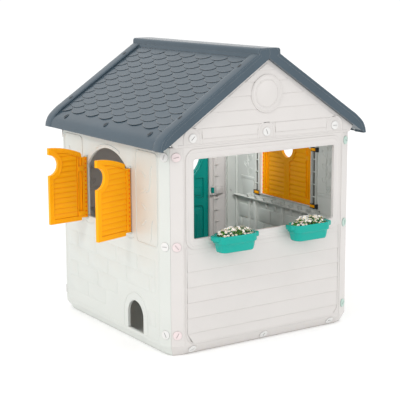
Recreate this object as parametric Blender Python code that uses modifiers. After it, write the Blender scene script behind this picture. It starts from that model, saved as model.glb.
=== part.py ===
"""Child's moulded plastic playhouse, modelled as the panels and pieces it is assembled from.

Metres, +Z up. The origin is the centre of the house's base, on the ground.
The serving window faces -Y, the door is in the +Y wall and the shuttered windows are in the
-X and +X walls.

Each wall is modelled in its own wall frame, as if it were the front wall: x runs along the wall,
-y points out of the house, and y = 0 is the plane of the vertical corner joints.
"""
from math import cos, pi, radians, sin, sqrt

import bmesh
import bpy
from mathutils import Matrix, Vector

# ---- Driving dimensions ---------------------------------------------------------------------
HALF_WIDTH = 0.480          # corner joint to centre line, along X
HALF_DEPTH = 0.4865         # corner joint to centre line, along Y
WALL_TOP = 0.9034           # seam between the walls and the gables
SKIN = 0.0032               # moulded wall thickness
GAP = 0.0003                # clearance between pieces that touch

FACE_OUT = 0.023            # flat wall face, outside the corner joint's plane
FACET_RUN = 0.050           # slanted strip beside each corner joint, measured along the wall
FLANGE = 0.022              # joint flange, measured along x and y
FOOT_TUCK = 0.030           # how far the foot of a wall leans in
FOOT_HEIGHT = 0.045
FOOT_CORNER_TUCK = 0.018
REVEAL = 0.012              # depth of the rim round an opening
LEDGE_Z = 0.4665            # inside ledge above the dado
LEDGE_DEPTH = 0.020

SERVING_HALF = 0.379        # serving window
SERVING_LOW = 0.509
SERVING_HIGH = 0.8506
FRAME_HALF = 0.417          # raised frame round the serving window
FRAME_LOW = 0.4656
FRAME_HIGH = 0.8928
FRAME_RAISE = 0.003

WINDOW_LOW = 0.505          # sill of both shuttered windows
ARCH_HALF = 0.200           # arched window in the left wall
ARCH_CENTRE_Z = 0.598
ARCH_RADIUS = 0.2486
FLAT_ARCH_HALF = 0.206      # window in the right wall, with a flatter top
FLAT_ARCH_RADIUS = 0.4145

MOUSE_X = 0.2274            # small arched hole near the floor, in the left wall's frame
MOUSE_HALF = 0.0672
MOUSE_LOW = 0.059
MOUSE_HIGH = 0.196

SHUTTER_AXIS = 0.200        # shutter hinge axis from the window's centre line
SHUTTER_STAND_OFF = 0.0095  # hinge axis out from the wall's face
SHUTTER_THICK = 0.016
SHUTTER_LOW = 0.490
SHUTTER_CENTRE_Z = 0.4195   # centre of the shutters' curved top
SHUTTER_RADIUS = 0.4224
SHUTTER_NOTCH_Z = 0.763
SHUTTER_NOTCH = 0.048
SHUTTER_STEP_LOW = 0.502    # the hinge side is shorter than the rest of the leaf
SHUTTER_STEP_HIGH = 0.784
SHUTTER_STEP = 0.030
SHUTTER_BORDER = 0.022
SHUTTER_OPEN_FRONT = 107.0  # degrees that the left wall's shutters stand open
SHUTTER_OPEN_REAR = 84.0
EAR_HALF = 0.0065           # lugs on the wall above and below each shutter's hinge side
EAR_THICK = 0.007
EAR_GAP = 0.0004
PIN_RADIUS = 0.003
PIN_BORE = 0.00308
PIN_REACH = 0.014

LEAF_PANEL_INSET = 0.005    # depth of the sunk fields in the shutters and the door

DOOR_AXIS_Y = -0.0155       # door hinge axis in the rear wall's frame, behind the skin
DOOR_HINGE_EDGE = 0.019     # from the hinge axis to the edge of the door
DOOR_BACK = 0.009           # from the hinge axis out to the back of the door
DOOR_THICK = 0.016
KNUCKLE_RADIUS = 0.0075
KNUCKLE_BORE = 0.00308
LUG_HEIGHT = 0.029
SLOT_HEIGHT = 0.030
SLOT_INNER = 0.0095         # hinge slot, from the axis towards the doorway
SLOT_OUTER = 0.018          # hinge slot, from the axis away from the doorway
DOOR_AXIS = 0.402           # door hinge axis, world X
DOOR_WIDTH = 0.402
DOOR_LOW = 0.048
DOOR_HIGH = 0.888
DOOR_CORNER = 0.060
DOOR_OVERLAP = 0.006
DOOR_PORTHOLE_Z = 0.704
DOOR_PORTHOLE = 0.155
DOOR_LUGS = (0.120, 0.485, 0.790)

GABLE_HALF = 0.4675
GABLE_EAVE_HALF = 0.4896
GABLE_EAVE_Z = 0.9293
GABLE_PEAK_Z = 1.2547
GABLE_DEPTH = 0.025

ROOF_HALF_Y = 0.531
ROOF_PEAK_Z = 1.3094        # where the two rims' top faces would meet
ROOF_SLOPE = (GABLE_PEAK_Z - GABLE_EAVE_Z) / GABLE_EAVE_HALF
ROOF_TOP_Z = 1.2995
ROOF_RIM = 0.0635           # width of the raised front and rear rims
ROOF_FIELD_DROP = 0.0125    # tiled field below the rims
ROOF_EAVE_X = 0.550
ROOF_EAVE_Z = 0.896
ROOF_RIB_X = 0.470

SCREW_HEAD = 0.0192
SCREW_HEAD_HEIGHT = 0.005
SCREW_SHANK = 0.005
SCREW_LENGTH = 0.020
CORNER_SCREW_INSET = 0.0245
CORNER_SCREW_LEVELS = {"low": 0.096, "middle": 0.482, "high": 0.864}
ROW_SCREWS = {"left": -0.381, "centre": 0.0, "right": 0.381}
FOOT_SCREW_Z = 0.024
GABLE_SCREW_Z = 0.939

BOX_X = 0.200               # window boxes, from the centre line
BOX_TOP = 0.522
BOX_BOTTOM = 0.448
BOX_BAND_LOW = 0.487
BOX_HALF = 0.100
BOX_HALF_DEPTH = 0.045
BOX_TAB_HALF = 0.1145
BOX_BACK = 0.0045           # stands off the wall face by this much
FLOWERS_TOP = 0.545

FLOOR_TOP = 0.0255
FLOOR_MARGIN = 0.0135
FLOOR_CHAMFER = 0.060

WALL_FRAMES = {
    "front": Matrix.Translation((0, -HALF_DEPTH, 0)),
    "right": Matrix.Translation((HALF_WIDTH, 0, 0)) @ Matrix.Rotation(radians(90), 4, "Z"),
    "rear": Matrix.Translation((0, HALF_DEPTH, 0)) @ Matrix.Rotation(radians(180), 4, "Z"),
    "left": Matrix.Translation((-HALF_WIDTH, 0, 0)) @ Matrix.Rotation(radians(270), 4, "Z"),
}
WALL_HALVES = {"front": HALF_WIDTH, "rear": HALF_WIDTH, "left": HALF_DEPTH, "right": HALF_DEPTH}

COLOURS = {
    "wall": (0.80, 0.79, 0.76), "floor": (0.62, 0.62, 0.60), "roof": (0.15, 0.19, 0.24),
    "shutter": (1.0, 0.33, 0.01), "door": (0.0, 0.22, 0.20), "window_box": (0.0, 0.38, 0.32),
    "screw": (0.82, 0.76, 0.76), "flowers": (0.10, 0.25, 0.05),
}


# ---- Scene and object helpers ---------------------------------------------------------------
def clear_scene():
    for obj in list(bpy.data.objects):
        bpy.data.objects.remove(obj, do_unlink=True)


def new_collection(name, parent=None):
    group = bpy.data.collections.new(name)
    (parent or bpy.context.scene.collection).children.link(group)
    return group


def plastic(name, colour, roughness=0.45):
    material = bpy.data.materials.new(name)
    material.use_nodes = True
    shader = material.node_tree.nodes["Principled BSDF"]
    shader.inputs["Base Color"].default_value = (*colour, 1.0)
    shader.inputs["Roughness"].default_value = roughness
    shader.inputs["Metallic"].default_value = 0.0
    return material


def add_part(name, mesh, frame, kind):
    part = bpy.data.objects.new(name, mesh)
    PARTS.objects.link(part)
    part.matrix_world = frame
    if not mesh.materials:
        mesh.materials.append(plastic(kind, COLOURS[kind]))
    return part


def add_tool(mesh, frame, group):
    tool = bpy.data.objects.new(mesh.name, mesh)
    group.objects.link(tool)
    tool.matrix_world = frame
    tool.hide_render = True
    tool.display_type = "WIRE"
    return tool


def combine(part, operation, meshes):
    """Join the meshes to the part, or cut them from it. They share the part's frame."""
    group = new_collection(f"{part.name}_{operation.lower()}", CUTTERS)
    for mesh in meshes:
        add_tool(mesh, part.matrix_world.copy(), group)
    modifier = part.modifiers.new(operation.title(), "BOOLEAN")
    modifier.operation = operation
    modifier.operand_type = "COLLECTION"
    modifier.collection = group
    modifier.solver = "EXACT"


# ---- Shape helpers --------------------------------------------------------------------------
def arc(centre, radius, start, end, steps):
    """Points along a circular arc, angles in degrees, both ends included."""
    angles = [radians(start + (end - start) * i / steps) for i in range(steps + 1)]
    return [(centre[0] + radius * cos(a), centre[1] + radius * sin(a)) for a in angles]


def rounded_rectangle(low, high, radius, steps=4):
    (x0, y0), (x1, y1) = low, high
    corners = [((x1 - radius, y1 - radius), 0), ((x0 + radius, y1 - radius), 90),
               ((x0 + radius, y0 + radius), 180), ((x1 - radius, y0 + radius), 270)]
    return [p for centre, turn in corners for p in arc(centre, radius, turn, turn + 90, steps)]


def inset(points, distance):
    """Move each side of a convex, anticlockwise outline inwards."""
    result = []
    count = len(points)
    for i in range(count):
        before, here, after = (Vector(points[(i + k) % count]) for k in (-1, 0, 1))
        first, second = (here - before).normalized(), (after - here).normalized()
        bisector = Vector((-(first.y + second.y), first.x + second.x)).normalized()
        reach = distance / bisector.dot(Vector((-first.y, first.x)))
        result.append(tuple(here + bisector * reach))
    return result


def prism(name, outline, low, high, plane="XZ"):
    """Mesh of a flat outline given depth. XZ runs from y = low to high, XY from z = low to high."""
    curve = bpy.data.curves.new(name, "CURVE")
    curve.dimensions = "2D"
    curve.fill_mode = "BOTH"
    curve.extrude = (high - low) / 2
    spline = curve.splines.new("POLY")
    spline.points.add(len(outline) - 1)
    for point, (a, b) in zip(spline.points, outline):
        point.co = (a, b, 0, 1)
    spline.use_cyclic_u = True
    guide = bpy.data.objects.new(name, curve)
    bpy.context.scene.collection.objects.link(guide)
    middle = (low + high) / 2
    if plane == "XZ":
        guide.matrix_world = Matrix.Translation((0, middle, 0)) @ Matrix.Rotation(pi / 2, 4, "X")
    else:
        guide.matrix_world = Matrix.Translation((0, 0, middle))
    evaluated = guide.evaluated_get(bpy.context.evaluated_depsgraph_get())
    mesh = bpy.data.meshes.new_from_object(evaluated)
    mesh.name = name
    mesh.transform(guide.matrix_world)
    shape = bmesh.new()
    shape.from_mesh(mesh)
    bmesh.ops.remove_doubles(shape, verts=shape.verts, dist=1e-6)
    bmesh.ops.recalc_face_normals(shape, faces=shape.faces)
    shape.to_mesh(mesh)
    shape.free()
    mesh.materials.clear()
    bpy.data.objects.remove(guide, do_unlink=True)
    bpy.data.curves.remove(curve)
    return mesh


def box(name, low, high):
    mesh = bpy.data.meshes.new(name)
    shape = bmesh.new()
    bmesh.ops.create_cube(shape, size=1.0)
    low, high = Vector(low), Vector(high)
    bmesh.ops.scale(shape, vec=high - low, verts=shape.verts)
    bmesh.ops.translate(shape, vec=(low + high) / 2, verts=shape.verts)
    shape.to_mesh(mesh)
    shape.free()
    return mesh


def rod(name, centre, direction, radius, length, segments=16, radius_end=None):
    """Cylinder or cone centred on a point, its axis along direction."""
    mesh = bpy.data.meshes.new(name)
    shape = bmesh.new()
    turn = Vector((0, 0, 1)).rotation_difference(Vector(direction)).to_matrix().to_4x4()
    bmesh.ops.create_cone(shape, cap_ends=True, segments=segments, radius1=radius,
                          radius2=radius if radius_end is None else radius_end, depth=length,
                          matrix=Matrix.Translation(centre) @ turn)
    shape.to_mesh(mesh)
    shape.free()
    return mesh


def sheet(name, rows, outward):
    """Open surface through rows of points, each row extruded from the one before."""
    mesh = bpy.data.meshes.new(name)
    shape = bmesh.new()
    line = [shape.verts.new(point) for point in rows[0]]
    edges = [shape.edges.new(pair) for pair in zip(line, line[1:])]
    for row in rows[1:]:
        grown = bmesh.ops.extrude_edge_only(shape, edges=edges)["geom"]
        edges = [item for item in grown if isinstance(item, bmesh.types.BMEdge)]
        fresh = [item for item in grown if isinstance(item, bmesh.types.BMVert)]
        order = {old: new for old in line for new in fresh if (new.co - old.co).length < 1e-9}
        line = [order[old] for old in line]
        for vert, point in zip(line, row):
            vert.co = point
    shape.normal_update()
    widest = max(shape.faces, key=lambda face: face.calc_area())
    if widest.normal.dot(Vector(outward)) < 0:
        bmesh.ops.reverse_faces(shape, faces=shape.faces)
    shape.to_mesh(mesh)
    shape.free()
    return mesh


# ---- Openings -------------------------------------------------------------------------------
def arched(half, low, centre_z, radius, steps=16):
    """Opening with straight sides and a round top, on the wall's centre line."""
    lean = sqrt(radius ** 2 - half ** 2)
    reach = abs(90 - radians_to_degrees(lean, half))
    top = arc((0, centre_z), radius, 90 - reach, 90 + reach, steps)
    return [(-half, low), (half, low)] + top


def radians_to_degrees(rise, run):
    return Vector((run, rise)).angle(Vector((1, 0))) * 180 / pi


def mouse_hole(grow=0.0):
    half = MOUSE_HALF + grow
    crown = arc((MOUSE_X, MOUSE_HIGH - MOUSE_HALF), half, 0, 180, 12)
    return [(MOUSE_X - half, MOUSE_LOW - grow), (MOUSE_X + half, MOUSE_LOW - grow)] + crown


def serving_window(grow=0.0):
    return rounded_rectangle((-SERVING_HALF - grow, SERVING_LOW - grow),
                             (SERVING_HALF + grow, SERVING_HIGH + grow), 0.010 + grow, 3)


def window(side, grow=0.0):
    if side == "left":
        return arched(ARCH_HALF + grow, WINDOW_LOW - grow, ARCH_CENTRE_Z, ARCH_RADIUS + grow)
    return arched(FLAT_ARCH_HALF + grow, WINDOW_LOW - grow, SHUTTER_CENTRE_Z,
                  FLAT_ARCH_RADIUS + grow)


def door_outline(shrink=0.0):
    """Door leaf in the rear wall's frame; shrunk, it is the doorway."""
    near = -(DOOR_AXIS - DOOR_HINGE_EDGE) + shrink
    far = near + DOOR_WIDTH - 2 * shrink
    low, high = DOOR_LOW + shrink, DOOR_HIGH - shrink
    radius = DOOR_CORNER - shrink
    top = (arc((far - radius, high - radius), radius, 0, 90, 5)
           + arc((near + radius, high - radius), radius, 90, 180, 5))
    return [(near, low), (far, low)] + top


# ---- Walls ----------------------------------------------------------------------------------
def wall_row(half, z):
    """One level of a wall's outer surface, from flange to flange. The foot leans in."""
    lean = max(0.0, 1.0 - z / FOOT_HEIGHT)
    corner = half - GAP - FOOT_CORNER_TUCK * lean
    back = FOOT_CORNER_TUCK * lean
    side = [(half - FACET_RUN - 0.4 * FOOT_CORNER_TUCK * lean, -FACE_OUT + FOOT_TUCK * lean),
            (corner, back), (corner - FLANGE, back + FLANGE)]
    return [(-x, y, z) for x, y in reversed(side)] + [(x, y, z) for x, y in side]


def door_bars(levels):
    """Hinge bar and its two brackets behind the skin, and the slot that the door's lug fills."""
    axis_x = -DOOR_AXIS
    added, removed = [], []
    for level in levels:
        added.append(rod("bar", (axis_x, DOOR_AXIS_Y, level), (0, 0, 1), PIN_RADIUS,
                         SLOT_HEIGHT + 0.006, 12))
        for sign in (-1, 1):
            low, high = sorted((level + sign * SLOT_HEIGHT / 2,
                                level + sign * (SLOT_HEIGHT / 2 + 0.005)))
            added.append(box("bracket", (axis_x - 0.005, -FACE_OUT + 0.001, low),
                             (axis_x + 0.005, DOOR_AXIS_Y + 0.004, high)))
        removed.append(box("slot", (axis_x - SLOT_OUTER, -FACE_OUT - 0.002, level - SLOT_HEIGHT / 2),
                           (axis_x + SLOT_INNER, -FACE_OUT + SKIN + 0.0006,
                            level + SLOT_HEIGHT / 2)))
    return added, removed


def shutter_ears():
    """Lugs on the wall's face, each with a pin, above and below the shutters' hinge sides."""
    axis_y = -FACE_OUT - SHUTTER_STAND_OFF
    added = []
    for axis_x in (-SHUTTER_AXIS, SHUTTER_AXIS):
        plan = ([(axis_x - EAR_HALF, -FACE_OUT + 0.001)]
                + arc((axis_x, axis_y), EAR_HALF, 180, 360, 6)
                + [(axis_x + EAR_HALF, -FACE_OUT + 0.001)])
        for edge, away in ((SHUTTER_STEP_LOW, -1), (SHUTTER_STEP_HIGH, 1)):
            near, far = edge + away * EAR_GAP, edge + away * (EAR_GAP + EAR_THICK)
            added.append(prism("ear", plan, min(near, far), max(near, far), "XY"))
            tip, root = edge - away * PIN_REACH, near + away * 0.003
            added.append(rod("pin", (axis_x, axis_y, (tip + root) / 2), (0, 0, 1), PIN_RADIUS,
                             abs(tip - root), 12))
    return added


def corner_screw_places(half):
    """Point and outward direction of each screw in a wall's corner strips."""
    rise = FACE_OUT * CORNER_SCREW_INSET / FACET_RUN
    normal = Vector((FACE_OUT, -FACET_RUN, 0)).normalized()
    for side, sign in (("left", -1), ("right", 1)):
        for level, z in CORNER_SCREW_LEVELS.items():
            point = Vector((sign * (half - CORNER_SCREW_INSET), -rise, z))
            yield f"{side}_{level}", point, Vector((sign * normal.x, normal.y, 0))


def foot_screw_places():
    normal = Vector((0, -FOOT_HEIGHT, -FOOT_TUCK)).normalized()
    y = -FACE_OUT + FOOT_TUCK * (1 - FOOT_SCREW_Z / FOOT_HEIGHT)
    for side, x in ROW_SCREWS.items():
        yield side, Vector((x, y, FOOT_SCREW_Z)), normal


def gable_screw_places():
    for side, x in ROW_SCREWS.items():
        yield side, Vector((x, -FACE_OUT, GABLE_SCREW_Z)), Vector((0, -1, 0))


def screw_hole(point, normal):
    return rod("screw_hole", point, normal, SCREW_SHANK + 0.0005, 0.016, 10)


def make_wall(side, openings, raised=(), fittings=(), slots=()):
    """openings and raised are outlines; fittings and slots are solids to add and to cut."""
    half = WALL_HALVES[side]
    frame = WALL_FRAMES[side]
    rows = [wall_row(half, z) for z in (0.0, FOOT_HEIGHT, WALL_TOP)]
    wall = add_part(f"{side}_wall", sheet(f"{side}_wall", rows, (0, -1, 0)), frame, "wall")
    shell = wall.modifiers.new("Skin", "SOLIDIFY")
    shell.thickness = SKIN
    shell.offset = -1
    shell.use_even_offset = True

    inside = 0.0008
    corner = half - GAP - inside
    shelf = [(half - FACET_RUN, -FACE_OUT + inside), (corner, inside * 0.5),
             (corner - FLANGE, FLANGE - inside)]
    shelf = [(-x, y) for x, y in shelf] + [(x, y) for x, y in reversed(shelf)]
    added = [prism("top_shelf", shelf, WALL_TOP - SKIN, WALL_TOP - 0.0001, "XY"),
             box("ledge", (-half + FACET_RUN, -FACE_OUT + 0.001, LEDGE_Z - SKIN),
                 (half - FACET_RUN, -FACE_OUT + LEDGE_DEPTH, LEDGE_Z))]
    for x in (-0.30, 0.30):
        added.append(box("stiffener", (x - 0.0015, -FACE_OUT + 0.001, FOOT_HEIGHT),
                         (x + 0.0015, -FACE_OUT + 0.014, LEDGE_Z)))
    added += [prism("reveal", outline, -FACE_OUT + 0.0012, -FACE_OUT + REVEAL)
              for outline in (grown(SKIN) for grown in openings)]
    added += [prism("raised_frame", outline, -FACE_OUT - FRAME_RAISE, -FACE_OUT + SKIN / 2)
              for outline in raised]
    removed = [prism("opening", grown(0.0), -FACE_OUT - 0.02, 0.05) for grown in openings]
    added += fittings
    removed += slots
    for _, point, normal in corner_screw_places(half):
        removed.append(screw_hole(point, normal))
    if side in ("front", "rear"):
        removed += [screw_hole(point, normal) for _, point, normal in foot_screw_places()]
    combine(wall, "UNION", added)
    combine(wall, "DIFFERENCE", removed)
    return wall


def make_walls():
    frame = rounded_rectangle((-FRAME_HALF, FRAME_LOW), (FRAME_HALF, FRAME_HIGH), 0.045, 4)
    bars, slots = door_bars(DOOR_LUGS)
    make_wall("front", [serving_window], raised=[frame])
    make_wall("left", [lambda grow: window("left", grow), mouse_hole], fittings=shutter_ears())
    make_wall("right", [lambda grow: window("right", grow)], fittings=shutter_ears())
    make_wall("rear", [lambda grow: door_outline(DOOR_OVERLAP - grow)], fittings=bars, slots=slots)


# ---- Leaves: shutters and door --------------------------------------------------------------
def leaf_top(radius, far, near):
    """Curved top of a shutter between two distances from the window's centre line."""
    angles = [radians_to_degrees(sqrt(radius ** 2 - x ** 2), x) for x in (far, near)]
    return arc((0, SHUTTER_CENTRE_Z), radius, *angles, 8)


def notch_side(radius, top_x, near):
    """Half-round notch in a shutter's meeting edge, from its top down to the edge."""
    first, last = (radians_to_degrees(sqrt(radius ** 2 - x ** 2), x) for x in (top_x, near))
    return arc((0, SHUTTER_NOTCH_Z), radius, first, -last, 10)


def shutter_outline():
    """Closed leaf to the right of the window's centre line. Its hinge side is cut shorter."""
    near = 0.0006
    far = SHUTTER_AXIS
    step = far - SHUTTER_STEP
    return ([(near, SHUTTER_LOW), (step, SHUTTER_LOW), (step, SHUTTER_STEP_LOW),
             (far, SHUTTER_STEP_LOW), (far, SHUTTER_STEP_HIGH), (step, SHUTTER_STEP_HIGH)]
            + leaf_top(SHUTTER_RADIUS, step, near) + notch_side(SHUTTER_NOTCH, near, near))


def shutter_panel():
    """Sunk field of the same leaf, inside an even border."""
    near = SHUTTER_BORDER
    far = SHUTTER_AXIS - SHUTTER_BORDER
    low = SHUTTER_LOW + SHUTTER_BORDER
    radius, notch = SHUTTER_RADIUS - SHUTTER_BORDER, SHUTTER_NOTCH + SHUTTER_BORDER
    rise = SHUTTER_NOTCH_Z - SHUTTER_CENTRE_Z
    meeting_z = (radius ** 2 - notch ** 2 + rise ** 2) / (2 * rise)
    meeting_x = sqrt(radius ** 2 - meeting_z ** 2)
    return ([(near, low), (far, low)] + leaf_top(radius, far, meeting_x)
            + notch_side(notch, meeting_x, near)[1:])


def to_leaf_frame(points, axis_x):
    """Shift an outline so that the hinge axis is at x = 0."""
    return [(x - axis_x, z) for x, z in points]


def door_lug(level):
    """Arm that joins a hinge knuckle to the door, with the hinge axis at 0, 0."""
    arm = [(-0.004, -0.0055), (0.003, -0.013), (0.030, -0.013), (0.030, -0.0083),
           (0.0085, -0.0083), (0.0085, -0.002), (0.004, 0.005)]
    return [prism("arm", arm, level - LUG_HEIGHT / 2, level + LUG_HEIGHT / 2, "XY"),
            rod("knuckle", (0, 0, level), (0, 0, 1), KNUCKLE_RADIUS, LUG_HEIGHT, 16)]


def make_leaf(name, kind, placed, axis_x, faces, outline, panels):
    """A leaf whose own frame has the hinge axis at 0, 0. Outlines are given in the wall frame."""
    front, back = faces
    leaf = add_part(name, prism(name, to_leaf_frame(outline, axis_x), front, back), placed, kind)
    sunk = []
    for panel in panels:
        local = to_leaf_frame(panel, axis_x)
        sunk.append(prism("panel", local, front - 0.002, front + LEAF_PANEL_INSET))
        sunk.append(prism("panel", local, back - LEAF_PANEL_INSET, back + 0.002))
    return leaf, sunk


def make_shutters():
    leaves = [("left_shutter_front", "left", 1, SHUTTER_OPEN_FRONT),
              ("left_shutter_rear", "left", -1, SHUTTER_OPEN_REAR),
              ("right_shutter_rear", "right", 1, 0.0),
              ("right_shutter_front", "right", -1, 0.0)]
    faces = (-SHUTTER_THICK / 2, SHUTTER_THICK / 2)
    middle = (SHUTTER_STEP_LOW + SHUTTER_STEP_HIGH) / 2
    for name, side, sign, angle in leaves:
        outline, panel = ([(sign * x, z) for x, z in shape]
                          for shape in (shutter_outline(), shutter_panel()))
        axis_x = sign * SHUTTER_AXIS
        placed = (WALL_FRAMES[side]
                  @ Matrix.Translation((axis_x, -FACE_OUT - SHUTTER_STAND_OFF, 0))
                  @ Matrix.Rotation(radians(sign * angle), 4, "Z"))
        leaf, removed = make_leaf(name, "shutter", placed, axis_x, faces, outline, [panel])
        edge = rod("rounded_edge", (0, 0, middle), (0, 0, 1), SHUTTER_THICK / 2 - 0.00005,
                   SHUTTER_STEP_HIGH - SHUTTER_STEP_LOW, 20)
        for end in (SHUTTER_STEP_LOW, SHUTTER_STEP_HIGH):
            removed.append(rod("bore", (0, 0, end), (0, 0, 1), PIN_BORE, 2 * PIN_REACH + 0.002, 16))
        combine(leaf, "UNION", [edge])
        combine(leaf, "DIFFERENCE", removed)


def make_door():
    axis_x = -DOOR_AXIS
    near = axis_x + DOOR_HINGE_EDGE
    far = near + DOOR_WIDTH
    centre_x = (near + far) / 2
    border = 0.035
    rail_low, rail_high = 0.410, 0.450
    left, right = near + border, far - border
    arch = DOOR_PORTHOLE + 0.030
    reach = radians_to_degrees(DOOR_WIDTH / 2 - border, DOOR_PORTHOLE_Z - 0.545)
    dip = arc((centre_x, DOOR_PORTHOLE_Z), arch, 270 + reach * 0.8, 270 - reach * 0.8, 8)
    panels = [rounded_rectangle((left, DOOR_LOW + border), (right, rail_low), 0.020, 3),
              [(left, rail_high), (right, rail_high), (right, dip[0][1])] + dip
              + [(left, dip[-1][1])]]
    placed = WALL_FRAMES["rear"] @ Matrix.Translation((axis_x, DOOR_AXIS_Y, 0))
    faces = (-DOOR_BACK - DOOR_THICK, -DOOR_BACK)
    door, removed = make_leaf("door", "door", placed, axis_x, faces, door_outline(), panels)
    porthole = arc((centre_x, DOOR_PORTHOLE_Z), DOOR_PORTHOLE, 0, 352.5, 47)
    removed.append(prism("hole", to_leaf_frame(porthole, axis_x), faces[0] - 0.01, faces[1] + 0.01))
    added = []
    for level in DOOR_LUGS:
        added += door_lug(level)
        removed.append(rod("bore", (0, 0, level), (0, 0, 1), KNUCKLE_BORE, LUG_HEIGHT + 0.004, 16))
        removed.append(box("mouth", (-0.010, -0.0024, level - LUG_HEIGHT),
                           (0.0, 0.0024, level + LUG_HEIGHT)))
    combine(door, "UNION", added)
    combine(door, "DIFFERENCE", removed)


# ---- Gables and roof ------------------------------------------------------------------------
def gable_outline():
    return [(-GABLE_HALF, WALL_TOP + GAP), (GABLE_HALF, WALL_TOP + GAP),
            (GABLE_EAVE_HALF, GABLE_EAVE_Z - GAP), (0, GABLE_PEAK_Z - GAP),
            (-GABLE_EAVE_HALF, GABLE_EAVE_Z - GAP)]


def make_gable(side):
    face = -FACE_OUT
    outline = gable_outline()
    gable = add_part(f"{side}_gable", prism(f"{side}_gable", outline, face, face + GABLE_DEPTH),
                     WALL_FRAMES[side], "wall")
    removed = [prism("hollow", inset(outline, SKIN), face + SKIN, face + GABLE_DEPTH + 0.01)]
    removed += [screw_hole(point, normal) for _, point, normal in gable_screw_places()]
    combine(gable, "DIFFERENCE", removed)


def rim_line(x):
    return ROOF_PEAK_Z - ROOF_SLOPE * x


def eave_curve(drop):
    """The roof's edge, from the slope round to the vertical lip."""
    return [(0.492, rim_line(0.492) - drop), (0.530, 0.9485 - drop * 0.4), (0.5445, 0.922),
            (ROOF_EAVE_X - 0.001, 0.905), (ROOF_EAVE_X, ROOF_EAVE_Z)]


def thicken(line, thickness):
    """Closed outline of a bent strip: the line, and the line moved down and inwards."""
    moved = []
    for i, here in enumerate(line):
        before, after = line[max(i - 1, 0)], line[min(i + 1, len(line) - 1)]
        along = (Vector(after) - Vector(before)).normalized()
        moved.append((here[0] + along.y * thickness, here[1] - along.x * thickness))
    return line + moved[::-1]


def make_roof_half(name, sign):
    low_peak = 0.062
    ridge = [(GAP, ROOF_TOP_Z), (0.044, ROOF_TOP_Z - 0.0007), (0.052, 1.295), (0.0557, 1.287),
             (0.0568, 1.272), (low_peak, rim_line(low_peak) - ROOF_FIELD_DROP)]
    top = ridge + eave_curve(ROOF_FIELD_DROP)
    skin = thicken(top, SKIN)
    skin = [(max(x, GAP), z) for x, z in skin]
    rim = thicken([(0.050, rim_line(0.050))] + eave_curve(0.0), ROOF_FIELD_DROP + 0.001)
    under = [(GAP, GABLE_PEAK_Z), (GABLE_EAVE_HALF, GABLE_EAVE_Z), (0.515, 0.9124),
             (ROOF_EAVE_X - SKIN, ROOF_EAVE_Z)]
    fascia = ([(GAP, ROOF_TOP_Z - 0.0005), (0.044, ROOF_TOP_Z - 0.0012), (0.051, 1.2935),
               (0.0545, 1.2865), (0.0555, rim_line(0.0555) - 0.0005)]
              + [(x - 0.0005, z - 0.0005) for x, z in eave_curve(0.0)] + under[::-1])
    soffit = [(x, z) for x, z in under] + [(x, z + SKIN * 1.2) for x, z in under[::-1]]

    def mirrored(outline):
        return [(sign * x, z) for x, z in outline]

    half = add_part(name, prism(name, mirrored(skin), -ROOF_HALF_Y + 0.001, ROOF_HALF_Y - 0.001),
                    Matrix.Identity(4), "roof")
    added = []
    for end in (-1, 1):
        outer = end * ROOF_HALF_Y
        added.append(prism("rim", mirrored(rim), *sorted((outer, end * (ROOF_HALF_Y - ROOF_RIM)))))
        added.append(prism("fascia", mirrored(fascia),
                           *sorted((end * (ROOF_HALF_Y - 0.0005), end * (ROOF_HALF_Y - SKIN)))))
        added.append(prism("soffit", mirrored(soffit),
                           *sorted((end * (ROOF_HALF_Y - 0.0008), end * (ROOF_HALF_Y - ROOF_RIM)))))
    ridge_x = sorted((sign * GAP, sign * (GAP + SKIN)))
    added.append(box("ridge_flange", (ridge_x[0], -ROOF_HALF_Y + 0.0015, GABLE_PEAK_Z + 0.0015),
                     (ridge_x[1], ROOF_HALF_Y - 0.0015, ROOF_TOP_Z - 0.001)))
    rib_x = sorted((sign * ROOF_RIB_X, sign * (ROOF_RIB_X + SKIN)))
    rib_end = HALF_DEPTH + FACE_OUT - GABLE_DEPTH - 0.02
    rib_top = rim_line(ROOF_RIB_X + SKIN) - ROOF_FIELD_DROP - SKIN * 0.4
    added.append(box("wall_rib", (rib_x[0], -rib_end, WALL_TOP + GAP), (rib_x[1], rib_end, rib_top)))
    combine(half, "UNION", added)


# ---- Floor ----------------------------------------------------------------------------------
def make_floor():
    half_x, half_y = HALF_WIDTH - FLOOR_MARGIN, HALF_DEPTH - FLOOR_MARGIN
    cut = FLOOR_CHAMFER
    outline = [(half_x - cut, -half_y), (half_x, -half_y + cut), (half_x, half_y - cut),
               (half_x - cut, half_y), (-half_x + cut, half_y), (-half_x, half_y - cut),
               (-half_x, -half_y + cut), (-half_x + cut, -half_y)]
    floor = add_part("floor_panel", prism("floor_panel", outline, 0.0, FLOOR_TOP, "XY"),
                     Matrix.Identity(4), "floor")
    cells = 4
    rib = 0.006
    pitch_x, pitch_y = 2 * (half_x - cut) / cells, 2 * half_y / cells
    pockets = []
    for i in range(cells):
        for j in range(cells):
            x0, y0 = -half_x + cut + i * pitch_x, -half_y + j * pitch_y
            pockets.append(box("pocket", (x0 + rib, y0 + rib, -0.01),
                               (x0 + pitch_x - rib, y0 + pitch_y - rib, FLOOR_TOP - SKIN)))
    combine(floor, "DIFFERENCE", pockets)


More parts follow.
